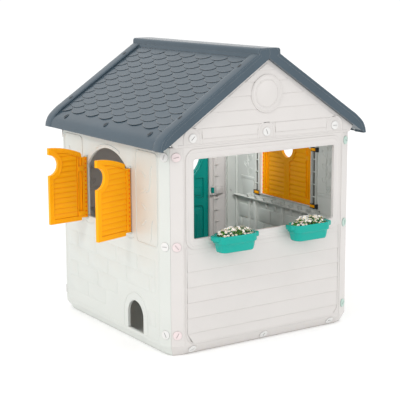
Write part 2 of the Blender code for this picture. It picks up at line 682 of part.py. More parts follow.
# ---- Window boxes and flowers ---------------------------------------------------------------
def tapered_block(name, low, high, bottom, top, radius, steps=4):
    """Rounded block between two levels; bottom and top are (half length, half depth)."""
    levels = [(low, bottom), (high, top)]
    rings = [[(x, y, z) for x, y in rounded_rectangle((-a, -b), (a, b), radius, steps)]
             for z, (a, b) in levels]
    mesh = bpy.data.meshes.new(name)
    shape = bmesh.new()
    loops = [[shape.verts.new(p) for p in ring] for ring in rings]
    edges = [[shape.edges.new((loop[i], loop[(i + 1) % len(loop)])) for i in range(len(loop))]
             for loop in loops]
    bmesh.ops.bridge_loops(shape, edges=edges[0] + edges[1])
    for loop in loops:
        shape.faces.new(loop)
    bmesh.ops.recalc_face_normals(shape, faces=shape.faces)
    shape.to_mesh(mesh)
    shape.free()
    return mesh


def make_window_box(side, sign):
    back = -FACE_OUT - BOX_BACK
    centre_y = back - BOX_HALF_DEPTH
    frame = WALL_FRAMES["front"] @ Matrix.Translation((sign * BOX_X, centre_y, 0))
    name = f"{side}_window_box"
    trough = add_part(name, tapered_block(name, BOX_BAND_LOW, BOX_TOP,
                                          (BOX_HALF - 0.002, BOX_HALF_DEPTH - 0.001),
                                          (BOX_HALF, BOX_HALF_DEPTH), 0.034), frame, "window_box")
    body = tapered_block("body", BOX_BOTTOM, BOX_BAND_LOW + 0.002, (0.086, 0.035),
                         (0.093, 0.040), 0.028)
    tabs = prism("tabs", rounded_rectangle((-BOX_TAB_HALF, -0.028), (BOX_TAB_HALF, 0.028), 0.020, 4),
                 BOX_TOP - 0.010, BOX_TOP - 0.0005, "XY")
    behind = -FACE_OUT + REVEAL + 0.0007 - centre_y
    hook = box("hook", (-0.040, BOX_HALF_DEPTH - 0.006, SERVING_LOW + GAP),
               (0.040, behind + 0.003, SERVING_LOW + GAP + 0.003))
    lip = box("lip", (-0.040, behind, SERVING_LOW - 0.015),
              (0.040, behind + 0.003, SERVING_LOW + GAP + 0.002))
    foot = box("foot", (-0.050, 0.028, BOX_BOTTOM + 0.004),
               (0.050, -FACE_OUT - FRAME_RAISE - GAP - centre_y, BOX_BOTTOM + 0.012))
    combine(trough, "UNION", [body, tabs, hook, lip, foot])
    hollow = tapered_block("hollow", BOX_BOTTOM + 0.003, BOX_TOP + 0.003, (0.080, 0.030),
                           (0.090, 0.035), 0.024)
    combine(trough, "DIFFERENCE", [hollow])

    flowers = tapered_block(f"{side}_flowers", BOX_BOTTOM + 0.0035, BOX_TOP - 0.010,
                            (0.0785, 0.0285), (0.0870, 0.0320), 0.022, 3)
    plant = add_part(f"{side}_flowers", flowers, frame, "flowers")
    mound = tapered_block("mound", BOX_TOP - 0.012, FLOWERS_TOP, (0.0865, 0.0315),
                          (0.066, 0.020), 0.0195, 3)
    combine(plant, "UNION", [mound])


# ---- Screws ---------------------------------------------------------------------------------
def screw_mesh():
    """Coin-slot screw, its head's underside at the origin and its head along +Z."""
    head = rod("screw", (0, 0, SCREW_HEAD_HEIGHT / 2), (0, 0, 1), SCREW_HEAD, SCREW_HEAD_HEIGHT,
               20, SCREW_HEAD - 0.0025)
    screw = bpy.data.objects.new("screw_pattern", head)
    CUTTERS.objects.link(screw)
    combine(screw, "UNION", [rod("shank", (0, 0, 0.001 - SCREW_LENGTH / 2), (0, 0, 1), SCREW_SHANK,
                                 SCREW_LENGTH, 8)])
    combine(screw, "DIFFERENCE", [box("coin_slot", (-0.0115, -0.0014, SCREW_HEAD_HEIGHT - 0.0025),
                                      (0.0115, 0.0014, SCREW_HEAD_HEIGHT + 0.002))])
    evaluated = screw.evaluated_get(bpy.context.evaluated_depsgraph_get())
    mesh = bpy.data.meshes.new_from_object(evaluated)
    mesh.name = "screw"
    mesh.materials.clear()
    bpy.data.objects.remove(screw, do_unlink=True)
    return mesh


def make_screws():
    mesh = screw_mesh()
    places = []
    for side, half in WALL_HALVES.items():
        places += [(f"corner_screw_{side}_{label}", side, point, normal)
                   for label, point, normal in corner_screw_places(half)]
    for side in ("front", "rear"):
        places += [(f"foot_screw_{side}_{label}", side, point, normal)
                   for label, point, normal in foot_screw_places()]
        places += [(f"gable_screw_{side}_{label}", side, point, normal)
                   for label, point, normal in gable_screw_places()]
    for index, (name, side, point, normal) in enumerate(places):
        turn = Vector((0, 0, 1)).rotation_difference(normal).to_matrix().to_4x4()
        slot = Matrix.Rotation(radians(35 + 67 * index), 4, "Z")
        seat = Matrix.Translation(point + normal * GAP)
        add_part(name, mesh, WALL_FRAMES[side] @ seat @ turn @ slot, "screw")


# ---- Assembly -------------------------------------------------------------------------------
clear_scene()
PARTS = new_collection("playhouse")
CUTTERS = new_collection("playhouse_cutters")
make_floor()
make_walls()
make_gable("front")
make_gable("rear")
make_roof_half("left_roof", -1)
make_roof_half("right_roof", 1)
make_shutters()
make_door()
make_window_box("left", -1)
make_window_box("right", 1)
make_screws()
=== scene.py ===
"""Looks of the moulded plastic playhouse: relief, tiles, slats, flowers, materials and light.

Metres, +Z up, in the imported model's frame. Relief on a wall is drawn in that wall's own frame:
x runs along the wall, z is up, and a height h stands off the wall's outer or inner face.
"""
from math import cos, pi, radians, sin, sqrt

import bmesh
import bpy
import numpy as np
from mathutils import Matrix, Vector


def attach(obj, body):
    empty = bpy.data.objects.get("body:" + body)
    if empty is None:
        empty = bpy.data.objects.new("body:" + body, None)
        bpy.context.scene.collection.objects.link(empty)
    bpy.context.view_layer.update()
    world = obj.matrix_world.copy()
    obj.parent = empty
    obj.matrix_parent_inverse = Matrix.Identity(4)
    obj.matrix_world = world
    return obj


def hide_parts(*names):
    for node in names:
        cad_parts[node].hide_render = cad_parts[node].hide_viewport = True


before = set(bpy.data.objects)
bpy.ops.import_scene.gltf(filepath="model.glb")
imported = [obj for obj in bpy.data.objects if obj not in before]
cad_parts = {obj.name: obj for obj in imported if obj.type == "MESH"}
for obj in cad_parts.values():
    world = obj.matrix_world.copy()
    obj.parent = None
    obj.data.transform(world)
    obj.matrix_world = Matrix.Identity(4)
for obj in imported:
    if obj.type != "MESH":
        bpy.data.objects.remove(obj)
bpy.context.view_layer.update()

add_to_scene = bpy.context.scene.collection.objects.link

# ---- Driving dimensions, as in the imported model
HALF_WIDTH = 0.48
HALF_DEPTH = 0.4865
SKIN = 0.0032
GAP = 0.0003
FACE_OUT = 0.023
FACET_RUN = 0.05
COLUMN_LOW = 0.05
FOOT_TUCK = 0.03
FOOT_HEIGHT = 0.045
LEDGE_Z = 0.4665
WALL_TOP = 0.9034
COLUMN_HIGH = WALL_TOP - 0.006
MOULDING_GROWTH = 0.0135
COURSE_WIDTHS = (0.15, 0.118, 0.17)

SERVING_HALF = 0.379
SERVING_LOW = 0.509
SERVING_HIGH = 0.8506
FRAME_RAISE = 0.003
WINDOW_LOW = 0.505
ARCH_CENTRE_Z = 0.598
ARCH_RADIUS = 0.2486
MOUSE_X = 0.2274
MOUSE_HALF = 0.0672
MOUSE_HIGH = 0.196

SHUTTER_AXIS = 0.2
SHUTTER_STAND_OFF = 0.0095
SHUTTER_THICK = 0.016
SHUTTER_LOW = 0.49
SHUTTER_CENTRE_Z = 0.4195
SHUTTER_RADIUS = 0.4224
SHUTTER_NOTCH_Z = 0.763
SHUTTER_NOTCH = 0.048
SHUTTER_STEP_LOW = 0.502
SHUTTER_STEP_HIGH = 0.784
SHUTTER_BORDER = 0.022
SHUTTER_OPEN = {"left_shutter_front": 107.0, "left_shutter_rear": -84.0,
                "right_shutter_rear": 0.0, "right_shutter_front": 0.0}
PANEL_DEPTH = 0.005

DOOR_AXIS = 0.402
DOOR_AXIS_Y = -0.0155
DOOR_HINGE_EDGE = 0.019
DOOR_BACK = 0.009
DOOR_THICK = 0.016
DOOR_WIDTH = 0.402
DOOR_LOW = 0.048
DOOR_HIGH = 0.888
DOOR_PORTHOLE_Z = 0.704
DOOR_PORTHOLE = 0.155

GABLE_EAVE_HALF = 0.4896
GABLE_EAVE_Z = 0.9293
GABLE_PEAK_Z = 1.2547
ROOF_SLOPE = (GABLE_PEAK_Z - GABLE_EAVE_Z) / GABLE_EAVE_HALF
ROOF_PEAK_Z = 1.3094
ROOF_HALF_Y = 0.531
ROOF_RIM = 0.0635
ROOF_FIELD_DROP = 0.0125
ROOF_FIELD_TOP_X = 0.062
ROOF_TOP_Z = 1.2995
ROOF_EAVE_X = 0.55
ROOF_EAVE_Z = 0.896

SCREW_HEAD = 0.0192
SCREW_HEAD_HEIGHT = 0.005
CORNER_SCREW_INSET = 0.0245
CORNER_SCREW_LEVELS = {"low": 0.096, "middle": 0.482, "high": 0.864}
ROW_SCREWS = {"left": -0.381, "centre": 0.0, "right": 0.381}
FOOT_SCREW_Z = 0.024
GABLE_SCREW_Z = 0.939

BOX_X = 0.2
BOX_TOP = 0.522
BOX_BOTTOM = 0.448
BOX_HALF = 0.1
BOX_HALF_DEPTH = 0.045
BOX_TAB_HALF = 0.1145
BOX_BACK = 0.0045
REVEAL = 0.012

WALL_FRAMES = {
    "front": Matrix.Translation((0, -HALF_DEPTH, 0)),
    "right": Matrix.Translation((HALF_WIDTH, 0, 0)) @ Matrix.Rotation(radians(90), 4, "Z"),
    "rear": Matrix.Translation((0, HALF_DEPTH, 0)) @ Matrix.Rotation(radians(180), 4, "Z"),
    "left": Matrix.Translation((-HALF_WIDTH, 0, 0)) @ Matrix.Rotation(radians(270), 4, "Z"),
}
WALL_HALVES = {"front": HALF_WIDTH, "rear": HALF_WIDTH, "left": HALF_DEPTH, "right": HALF_DEPTH}


# ---- Materials
def linear(red, green, blue):
    """Shader colour from the usual 0 to 255 screen values."""
    values = [channel / 255 for channel in (red, green, blue)]
    return [v / 12.92 if v <= 0.04045 else ((v + 0.055) / 1.055) ** 2.4 for v in values]


class Shading:
    """One node material, with short ways to add nodes and wire them up."""

    def __init__(self, name):
        self.material = bpy.data.materials.new(name)
        self.material.use_nodes = True
        self.tree = self.material.node_tree
        self.shader = self.tree.nodes["Principled BSDF"]
        self.place = self.tree.nodes.new("ShaderNodeTexCoord").outputs["Object"]

    def add(self, kind, values, wires=(), **settings):
        """A new node, with its input values and the outputs wired to its inputs, by input name."""
        node = self.tree.nodes.new("ShaderNode" + kind)
        for key, value in settings.items():
            setattr(node, key, value)
        for key, value in values.items():
            node.inputs[key].default_value = value
        self.wire(node, wires)
        return node

    def wire(self, node, wires):
        for key, output in dict(wires).items():
            self.tree.links.new(output, node.inputs[key])

    def noise(self, scale, detail):
        values = {"Scale": scale, "Detail": detail}
        return self.add("TexNoise", values, {"Vector": self.place}).outputs["Fac"]

    def ramp(self, factor, start, dark, light):
        """Colour that runs from dark to light over the middle of the factor's range."""
        node = self.add("ValToRGB", {}, {"Fac": factor})
        for stop, position, colour in zip(node.color_ramp.elements, (start, 1 - start),
                                          (dark, light)):
            stop.position = position
            stop.color = (*[min(c, 1) for c in colour], 1)
        return node.outputs["Color"]

    def range(self, value, values):
        return self.add("MapRange", values, {"Value": value}).outputs["Result"]

    def mix(self, factor, wires, values):
        node = self.add("Mix", values, {"Factor": factor, **wires}, data_type="RGBA")
        return node.outputs["Result"]

    def bump(self, height, normal, strength, distance):
        values = {"Strength": strength, "Distance": distance}
        return self.add("Bump", values, {"Height": height, "Normal": normal}).outputs["Normal"]


def plastic(name, colour, roughness, mottle=0.05, texture=0.25, edge=0.0012, specular=0.5,
            crevice_shade=(0.74, 0.73, 0.71), edge_highlight=0.0):
    """Moulded polyethylene: faint cloudy colour, fine skin texture, waves and softened edges.

    In narrow grooves that ambient occlusion finds, the colour is scaled by the crevice factors: painted
    shade. Along edges it is lightened towards white by the highlight amount: a painted highlight.
    """
    colour = linear(*colour)
    skin = Shading(name)
    skin.shader.inputs["Specular IOR Level"].default_value = specular
    clouds = skin.ramp(skin.noise(7.0, 6.0), 0.3, [c * (1 - mottle) for c in colour],
                       [c * (1 + mottle) for c in colour])
    # Painted shade: the colour darkens in grooves and creases, where ambient occlusion finds little open
    # air.
    groove = skin.add("AmbientOcclusion", {"Distance": 0.007}, samples=6)
    open_air = skin.range(groove.outputs["AO"], {"From Min": 0.25, "From Max": 0.85})
    surface_colour = skin.mix(open_air, {"B": clouds},
                              {"A": (*[c * k for c, k in zip(colour, crevice_shade)], 1)})
    soft = skin.add("Bevel", {"Radius": edge}, samples=4).outputs["Normal"]
    # Painted highlight: the colour is lightened on edges, where the softened normal turns from the flat
    # one.
    if edge_highlight:
        flat = skin.add("NewGeometry", {}).outputs["Normal"]
        bend = skin.add("VectorMath", {}, operation="DOT_PRODUCT")
        for socket, normal in zip(bend.inputs, (flat, soft)):
            skin.tree.links.new(normal, socket)
        highlight_mask = skin.range(bend.outputs["Value"],
                            {"From Min": 0.995, "From Max": 0.9, "To Max": 0.75})
        surface_colour = skin.mix(highlight_mask, {"A": surface_colour},
                                  {"B": (*[c + (1 - c) * edge_highlight for c in colour], 1)})
    polish = skin.range(skin.noise(28.0, 4.0),
                        {"To Min": roughness - 0.07, "To Max": roughness + 0.07})
    waves = skin.bump(skin.noise(11.0, 2.0), soft, 0.25, 0.002)
    grain = skin.bump(skin.noise(700.0, 3.0), waves, texture, 0.0003)
    skin.wire(skin.shader, {"Base Color": surface_colour, "Roughness": polish, "Normal": grain})
    return skin.material


def petal(name, colour, roughness=0.6, shade=0.72):
    """Thin plant matter that varies from piece to piece."""
    colour = linear(*colour)
    skin = Shading(name)
    skin.shader.inputs["Roughness"].default_value = roughness
    patches = skin.ramp(skin.noise(160.0, 3.0), 0.35, [c * shade for c in colour],
                        [c * 1.15 for c in colour])
    skin.wire(skin.shader, {"Base Color": patches})
    return skin.material


# The crevice factors of each plastic below darken its grooves: painted shade.
WALL = plastic("wall_plastic", (211, 207, 204), 0.38, 0.015, 0.2)
SIDE_WALL = plastic("side_wall_plastic", (209, 212, 207), 0.38, 0.015, 0.2)
# The roof's last value lightens its tile lips and rim edges: a painted highlight.
ROOF = plastic("roof_plastic", (64, 80, 91), 0.24, 0.05, 0.1, 0.0016, 0.42, (0.8, 0.8, 0.82),
               0.3)
FLOOR = plastic("floor_plastic", (196, 197, 192), 0.5, 0.04, 0.35)
SHUTTER_LOOK = (0.2, 0.0008, 0.16, (0.85, 0.45, 0.2))
SHUTTER = plastic("shutter_plastic", (255, 170, 2), 0.36, 0.04, *SHUTTER_LOOK)
# Painted shade: a darker, redder copy of the shutter plastic for the hinge ribs, where the leaf's edge
# turns away from the light.
SHUTTER_EDGE_SHADE = plastic("shutter_edge_shade", (255, 112, 0), 0.36, 0.05, *SHUTTER_LOOK)
DOOR = plastic("door_plastic", (0, 140, 130), 0.32, 0.06, 0.25, 0.0012, 0.25, (0.2, 0.3, 0.3))
BOX = plastic("window_box_plastic", (0, 163, 149), 0.17, 0.03, 0.08, 0.0012, 0.3,
              (0.6, 0.6, 0.6))
# Dark sheets and blocks that stand in for the shade inside screw pockets, hinge sockets and window
# channels: painted shadow.
POCKET_SHADOW = plastic("pocket_shadow", (30, 36, 42), 0.55, 0.1, 0.3)
CHANNEL_SHADOW = plastic("socket_shadow", (92, 92, 86), 0.55, 0.08, 0.3)
SCREW_TINTS = {tint: plastic(f"screw_{tint}", colour, 0.32, 0.04, 0.12, 0.0006, 0.5, (0.5,) * 3)
               for tint, colour in (("pink", (226, 211, 211)), ("white", (222, 221, 219)),
                                    ("green", (182, 206, 196)))}
LEAF = petal("leaf_green", (98, 158, 60), 0.5)
DAISY = petal("daisy_white", (255, 255, 255), 0.6, 0.92)
BLUSH = petal("daisy_blush", (248, 226, 226), 0.6, 0.9)
CENTRE = petal("daisy_centre", (232, 190, 60))
SOIL = petal("soil", (58, 44, 34), 0.9)


# ---- Shape helpers
def arc(centre, radius, start, end, steps, squash=1.0):
    """Points along a circular arc, angles in degrees, both ends included."""
    angles = [radians(start + (end - start) * i / steps) for i in range(steps + 1)]
    return [(centre[0] + radius * cos(a), centre[1] + radius * squash * sin(a)) for a in angles]


def circle(centre, radius, count):
    return arc(centre, radius, 0, 360 - 360 / count, count - 1)


def rounded_rectangle(low, high, radius, steps=6):
    (x0, z0), (x1, z1) = low, high
    corners = [((x1 - radius, z1 - radius), 0), ((x0 + radius, z1 - radius), 90),
               ((x0 + radius, z0 + radius), 180), ((x1 - radius, z0 + radius), 270)]
    return [p for centre, turn in corners for p in arc(centre, radius, turn, turn + 90, steps)]


def turns(count):
    """Angles of a full turn in equal steps, in radians."""
    return np.linspace(0, 2 * pi, count, endpoint=False)


def offset(points, distance, closed=True):
    """Move a line sideways, to its left. A closed anticlockwise outline shrinks."""
    result = []
    count = len(points)
    for i in range(count):
        if closed:
            before, after = points[i - 1], points[(i + 1) % count]
        else:
            before, after = points[max(i - 1, 0)], points[min(i + 1, count - 1)]
        here = Vector(points[i])
        first, second = here - Vector(before), Vector(after) - here
        first = (first if first.length > 1e-9 else second).normalized()
        second = (second if second.length > 1e-9 else first).normalized()
        side = Vector((-(first.y + second.y), first.x + second.x)).normalized()
        reach = distance / max(side.dot(Vector((-first.y, first.x))), 0.35)
        result.append(tuple(here + side * reach))
    return result


def face(y, direction):
    """Surface that turns a place (x, z) and a height h into a point, for one side of a panel."""
    return lambda x, z, h: (x, y + direction * h, z)


outside = face(-FACE_OUT, -1)
inside = face(-FACE_OUT + SKIN, 1)
BEAD = [(-1.0, 0.0), (-0.72, 0.72), (-0.3, 1.0), (0.3, 1.0), (0.72, 0.72), (1.0, 0.0)]
SUNK = 0.0006  # how far relief reaches into the surface that it stands on


class Relief:
    """Closed solids gathered into one mesh. A surface turns (x, z, h) into a point."""

    def __init__(self):
        self.mesh = bmesh.new()

    def loft(self, rings, closed=False):
        loops = [[self.mesh.verts.new(point) for point in ring] for ring in rings]
        pairs = list(zip(loops, loops[1:]))
        if closed:
            pairs.append((loops[-1], loops[0]))
        else:
            self.mesh.faces.new(loops[0][::-1])
            self.mesh.faces.new(loops[-1])
        count = len(loops[0])
        for low, high in pairs:
            for i in range(count):
                j = (i + 1) % count
                self.mesh.faces.new((low[i], low[j], high[j], high[i]))

    def plate(self, surface, outline, height, bevel=0.001, base=0.0):
        """Raised plate with a rounded edge, from base to height above the surface."""
        rings = [(outline, base - SUNK), (outline, height - bevel),
                 (offset(outline, bevel * 0.35), height - bevel * 0.3),
                 (offset(outline, bevel), height)]
        self.loft([[surface(x, z, h) for x, z in ring] for ring, h in rings])

    def bead(self, surface, path, half, height, closed=False, base=0.0):
        """Rounded ridge along a path. half is half its width."""
        sides = [(offset(path, across * half, closed), base + rise * height)
                 for across, rise in BEAD]
        foot = [(sides[-1][0], base - SUNK), (sides[0][0], base - SUNK)]
        lines = sides + foot
        rings = [[surface(*line[i], h) for line, h in lines] for i in range(len(path))]
        self.loft(rings, closed)

    def block(self, surface, low, high, height, bevel=0.001, base=0.0):
        (x0, z0), (x1, z1) = low, high
        self.plate(surface, [(x0, z0), (x1, z0), (x1, z1), (x0, z1)], height, bevel, base)

    def bake(self, name, outward=True):
        """The solids as mesh data. Nothing can be added to them afterwards."""
        if outward:
            bmesh.ops.recalc_face_normals(self.mesh, faces=self.mesh.faces)
        data = bpy.data.meshes.new(name)
        self.mesh.to_mesh(data)
        self.mesh.free()
        return data

    def rib(self, x, half, low, high, height, bevel=0.0015):
        """Upright rib on a wall's inner face."""
        self.block(inside, (x - half, low), (x + half, high), height, bevel)

    def finish(self, name, material, body, slot, matrix=None, smooth=35):
        if matrix is not None:
            bmesh.ops.transform(self.mesh, matrix=matrix, verts=self.mesh.verts)
        return add_piece(name, self.bake(name), material, body, smooth)

    def finish_wall(self, name, material, side):
        self.finish(name, material, "house", "wall", WALL_FRAMES[side])


def combine(name, data, tool_data, operation, use_self=False):
    """Boolean of two meshes: INTERSECT keeps what both fill, DIFFERENCE cuts the tool away."""
    body, tool = bpy.data.objects.new(name, data), bpy.data.objects.new("tool", tool_data)
    for one in (body, tool):
        add_to_scene(one)
    trim = body.modifiers.new("Trim", "BOOLEAN")
    trim.operation = operation
    trim.solver = "EXACT"
    trim.use_self = use_self
    trim.object = tool
    graph = bpy.context.evaluated_depsgraph_get()
    result = bpy.data.meshes.new_from_object(body.evaluated_get(graph))
    for one in (body, tool):
        bpy.data.objects.remove(one)
    return result


def add_piece(name, data, material, body, smooth=35):
    for one in material if isinstance(material, list) else [material]:
        data.materials.append(one)
    data.shade_smooth()
    if smooth:
        data.set_sharp_from_angle(angle=radians(smooth))
    piece = bpy.data.objects.new(name, data)
    add_to_scene(piece)
    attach(piece, body)
    return piece


# ---- Front and rear walls
def clapboards(relief, levels, half_at, proud=0.003, foot=0.0021, middle=0.0):
    """Overlapping boards, each a wedge that is thickest along its bottom edge."""
    for low, high in zip(levels, levels[1:]):
        section = [(low, -SUNK), (low, foot), (low + 0.0012, proud), (low + 0.004, proud),
                   (high, 0.0004), (high, -SUNK)]
        relief.loft([[outside(middle + sign * half_at(z), z, h) for z, h in section]
                     for sign in (-1, 1)])


def front_wall_relief():
    """Boards below the serving window, in a field whose border runs up beside its frame."""
    relief = Relief()
    low, high, half, radius = 0.052, 0.4465, 0.416, 0.045

    def half_at(z):
        """Half length of a board at a level of the field, whose lower corners are round."""
        depth = min(z - low, radius)
        return half - 0.004 - radius + sqrt(max(radius ** 2 - (radius - max(depth, 0)) ** 2, 0))

    pitch = 0.068
    levels = [low + 0.002] + [0.097 + pitch * i for i in range(6)]
    clapboards(relief, levels[:-1] + [high - 0.001], half_at)
    border = ([(-half, high + 0.03)] + arc((-half + radius, low + radius), radius, 180, 270, 10)
              + arc((half - radius, low + radius), radius, 270, 360, 10) + [(half, high + 0.03)])
    relief.bead(outside, border, 0.0035, 0.0028)
    for grow, half_width in ((0.0075, 0.003), (0.03, 0.0026)):
        frame_line = rounded_rectangle((-SERVING_HALF - grow, SERVING_LOW - grow),
                                       (SERVING_HALF + grow, SERVING_HIGH + grow), 0.01 + grow)
        relief.bead(outside, frame_line, half_width, 0.001, closed=True, base=FRAME_RAISE)
    for sign in (-1, 1):
        relief.bead(outside, [(sign * 0.4275, 0.052), (sign * 0.4275, 0.894)], 0.0022, 0.0018)
    relief.finish_wall("front_wall_relief", WALL, "front")


def gable_relief(side):
    """Boards across the gable, a blank round badge in the middle and scoops over the screws."""
    relief = Relief()
    badge, badge_radius, inner_radius = (0.0, 1.104), 0.083, 0.06
    scoop_radius = 0.042
    levels = [0.977, 1.04, 1.1, 1.158, 1.205]

    def half_at(z):
        return (GABLE_PEAK_Z - z) / ROOF_SLOPE - 0.03

    clapboards(relief, levels, half_at, 0.0026, 0.00182)
    tip = (0, GABLE_PEAK_Z - 0.03 * ROOF_SLOPE)
    top = levels[-1]
    relief.plate(outside, [(-half_at(top), top), (half_at(top), top), tip], 0.0024, 0.0015)
    relief.plate(outside, circle(badge, badge_radius, 60), 0.0042, 0.0016)
    relief.bead(outside, circle(badge, badge_radius - 0.003, 72), 0.0026, 0.0014, True, 0.0042)
    relief.bead(outside, circle(badge, inner_radius, 72), 0.0026, 0.0016, True, 0.0042)
    for x in ROW_SCREWS.values():
        scoop = ([(x + scoop_radius, 0.912)]
                 + arc((x, GABLE_SCREW_Z), scoop_radius, 0, 180, 26) + [(x - scoop_radius, 0.912)])
        relief.bead(outside, scoop, 0.005, 0.0026)
        for end in (-1, 1):
            if abs(x + end * 0.19) < 0.39:
                x0, x1 = sorted((x + end * (scoop_radius + 0.006), x + end * 0.1905))
                section = [(0.9335, -SUNK), (0.9335, 0.0018), (0.935, 0.0026), (0.9385, 0.0026),
                           (0.9765, 0.0004), (0.9765, -SUNK)]
                relief.loft([[outside(x, z, h) for z, h in section] for x in (x0, x1)])
    relief.bead(outside, [(-0.452, 0.9125), (0.452, 0.9125)], 0.0024, 0.0016)
    relief.finish_wall(f"{side}_gable_relief", WALL, side)


def rear_wall_relief():
    """Outside: boards beside the doorway and a bead round it. Unseen in the photograph."""
    relief = Relief()
    near, far = -(DOOR_AXIS - DOOR_HINGE_EDGE), -(DOOR_AXIS - DOOR_HINGE_EDGE) + DOOR_WIDTH
    left, right = far + 0.04, 0.418
    low, high, radius = 0.062, 0.868, 0.03
    boards = 17
    levels = [low + 0.004 + (high - low - 0.008) * i / boards for i in range(boards + 1)]
    middle, half = (left + right) / 2, (right - left) / 2 - 0.004
    clapboards(relief, levels, lambda z: half, 0.0028, 0.002, middle)
    relief.bead(outside, rounded_rectangle((left, low), (right, high), radius), 0.0035, 0.0026, True)
    frame_top = [(far + 0.016, 0.046)] + [(far + 0.016, DOOR_HIGH - 0.045)]
    frame_top += arc((far - 0.044, DOOR_HIGH - 0.045), 0.06, 8, 90, 8)
    relief.bead(outside, [(x, min(z, WALL_TOP - 0.004)) for x, z in frame_top], 0.0025, 0.0018)
    relief.finish_wall("rear_wall_relief", WALL, "rear")


# ---- Side walls
def bricks(relief, surface, low, high, left, right, rows, widths, height, holes=()):
    """Raised bricks in courses. widths is the brick lengths that each course cycles through."""
    pitch = (high - low) / rows
    joint = 0.0055
    for row in range(rows):
        z0, z1 = low + row * pitch + joint / 2, low + (row + 1) * pitch - joint / 2
        x = left - widths[row % len(widths)] * (0.5 if row % 2 else 0.0)
        index = row
        while x < right - 0.01:
            width = widths[index % len(widths)]
            x0, x1 = max(x, left) + joint / 2, min(x + width, right) - joint / 2
            x += width
            index += 1
            clear = all(x1 < hx0 or x0 > hx1 or z1 < hz0 or z0 > hz1
                        for (hx0, hz0), (hx1, hz1) in holes)
            if x1 - x0 > 0.02 and clear:
                outline = rounded_rectangle((x0, z0), (x1, z1), 0.006, 2)
                relief.plate(surface, outline, height, 0.0009)


def smooth_line(points, steps=5):
    """Catmull-Rom curve through the points."""
    ends = [points[0], *points, points[-1]]
    line = []
    for before, start, end, after in zip(ends, ends[1:], ends[2:], ends[3:]):
        for i in range(steps):
            t = i / steps
            line.append(tuple(
                0.5 * (2 * b + (c - a) * t + (2 * a - 5 * b + 4 * c - d) * t * t
                       + (3 * b - a - 3 * c + d) * t ** 3)
                for a, b, c, d in zip(before, start, end, after)))
    return line + [tuple(points[-1])]


def side_wall_relief(side):
    relief = Relief()
    head = (ARCH_CENTRE_Z, ARCH_RADIUS, 66) if side == "left" else (SHUTTER_CENTRE_Z, SHUTTER_RADIUS, 61)
    centre_z, radius, start = head
    moulding = arc((0, centre_z), radius + MOULDING_GROWTH, start, 180 - start, 24)
    relief.bead(outside, moulding, 0.005, 0.0026)
    holes = []
    if side == "left":
        grow = 0.035
        half = MOUSE_HALF + grow
        crown = arc((MOUSE_X, MOUSE_HIGH - MOUSE_HALF), half, 0, 180, 24)
        hood = [(MOUSE_X + half, 0.062)] + crown + [(MOUSE_X - half, 0.062)]
        relief.bead(outside, hood, 0.003, 0.0018)
        holes = [((MOUSE_X - half - 0.004, 0.0), (MOUSE_X + half + 0.004, MOUSE_HIGH + grow))]
    bricks(relief, outside, 0.11, 0.412, -0.4, 0.4, 4, (0.185, 0.172, 0.196), 0.0007, holes)
    for sign in (-1, 1):
        plank = rounded_rectangle((min(sign * 0.245, sign * 0.422), 0.47),
                                  (max(sign * 0.245, sign * 0.422), 0.872), 0.022)
        relief.bead(outside, plank, 0.003, 0.0024, closed=True)
        for points in (((0.378, 0.815), (0.366, 0.79), (0.364, 0.745), (0.356, 0.712),
                        (0.334, 0.698)),
                       ((0.384, 0.582), (0.374, 0.56), (0.371, 0.52), (0.364, 0.487))):
            relief.bead(outside, smooth_line([(sign * x, z) for x, z in points]), 0.0026, 0.0024)
        for level, lean in ((0.56, 0.6), (0.63, -0.4), (0.7, 0.5), (0.77, -0.5)):
            leaf = [(sign * 0.305 + 0.021 * cos(t), level + 0.021 * lean * cos(t) + 0.009 * sin(t))
                    for t in turns(18)]
            relief.plate(outside, leaf, 0.0014, 0.001)
        smile = arc((sign * 0.187, 0.492), 0.042, 215, 325, 12, 0.5)
        relief.bead(outside, smile, 0.002, 0.0016)
    border = rounded_rectangle((-0.428, 0.056), (0.428, 0.893), 0.04)
    relief.bead(outside, border, 0.0026, 0.0014, closed=True)
    relief.finish_wall(f"{side}_wall_relief", SIDE_WALL, side)


# ---- Inside of the walls
def plant(relief, centre, low, high):
    """A stem with paired leaves rising from a pot."""
    pot_top = low + 0.096
    stem = [(centre + 0.008 * sin(4 * t), pot_top + (high - pot_top - 0.03) * t)
            for t in np.linspace(0, 1, 14)]
    relief.bead(inside, stem, 0.003, 0.003)
    pot = [(centre - 0.042, low), (centre + 0.042, low), (centre + 0.05, pot_top - 0.012),
           (centre - 0.05, pot_top - 0.012)]
    relief.plate(inside, pot, 0.004, 0.0016)
    relief.block(inside, (centre - 0.057, pot_top - 0.016), (centre + 0.057, pot_top), 0.0056, 0.0018)
    leaves = 8
    tilt = radians(50)
    for i in range(leaves):
        z = pot_top + 0.018 + (high - pot_top - 0.075) * i / (leaves - 1)
        sign = 1 if i % 2 else -1
        outline = []
        for t in turns(20):
            along, across = 0.027 * (1 + cos(t)), 0.013 * sin(t) * (1.2 - 0.4 * cos(t))
            outline.append((centre + sign * (along * cos(tilt) - across * sin(tilt) * 0.6),
                            z + along * sin(tilt) * 0.6 + across * cos(tilt)))
        if sign < 0:
            outline.reverse()
        relief.bead(inside, outline, 0.0018, 0.0022, closed=True)
        relief.bead(inside, [(centre + sign * 0.004, z + 0.002),
                             (centre + sign * 0.03, z + 0.022)], 0.0012, 0.0018)


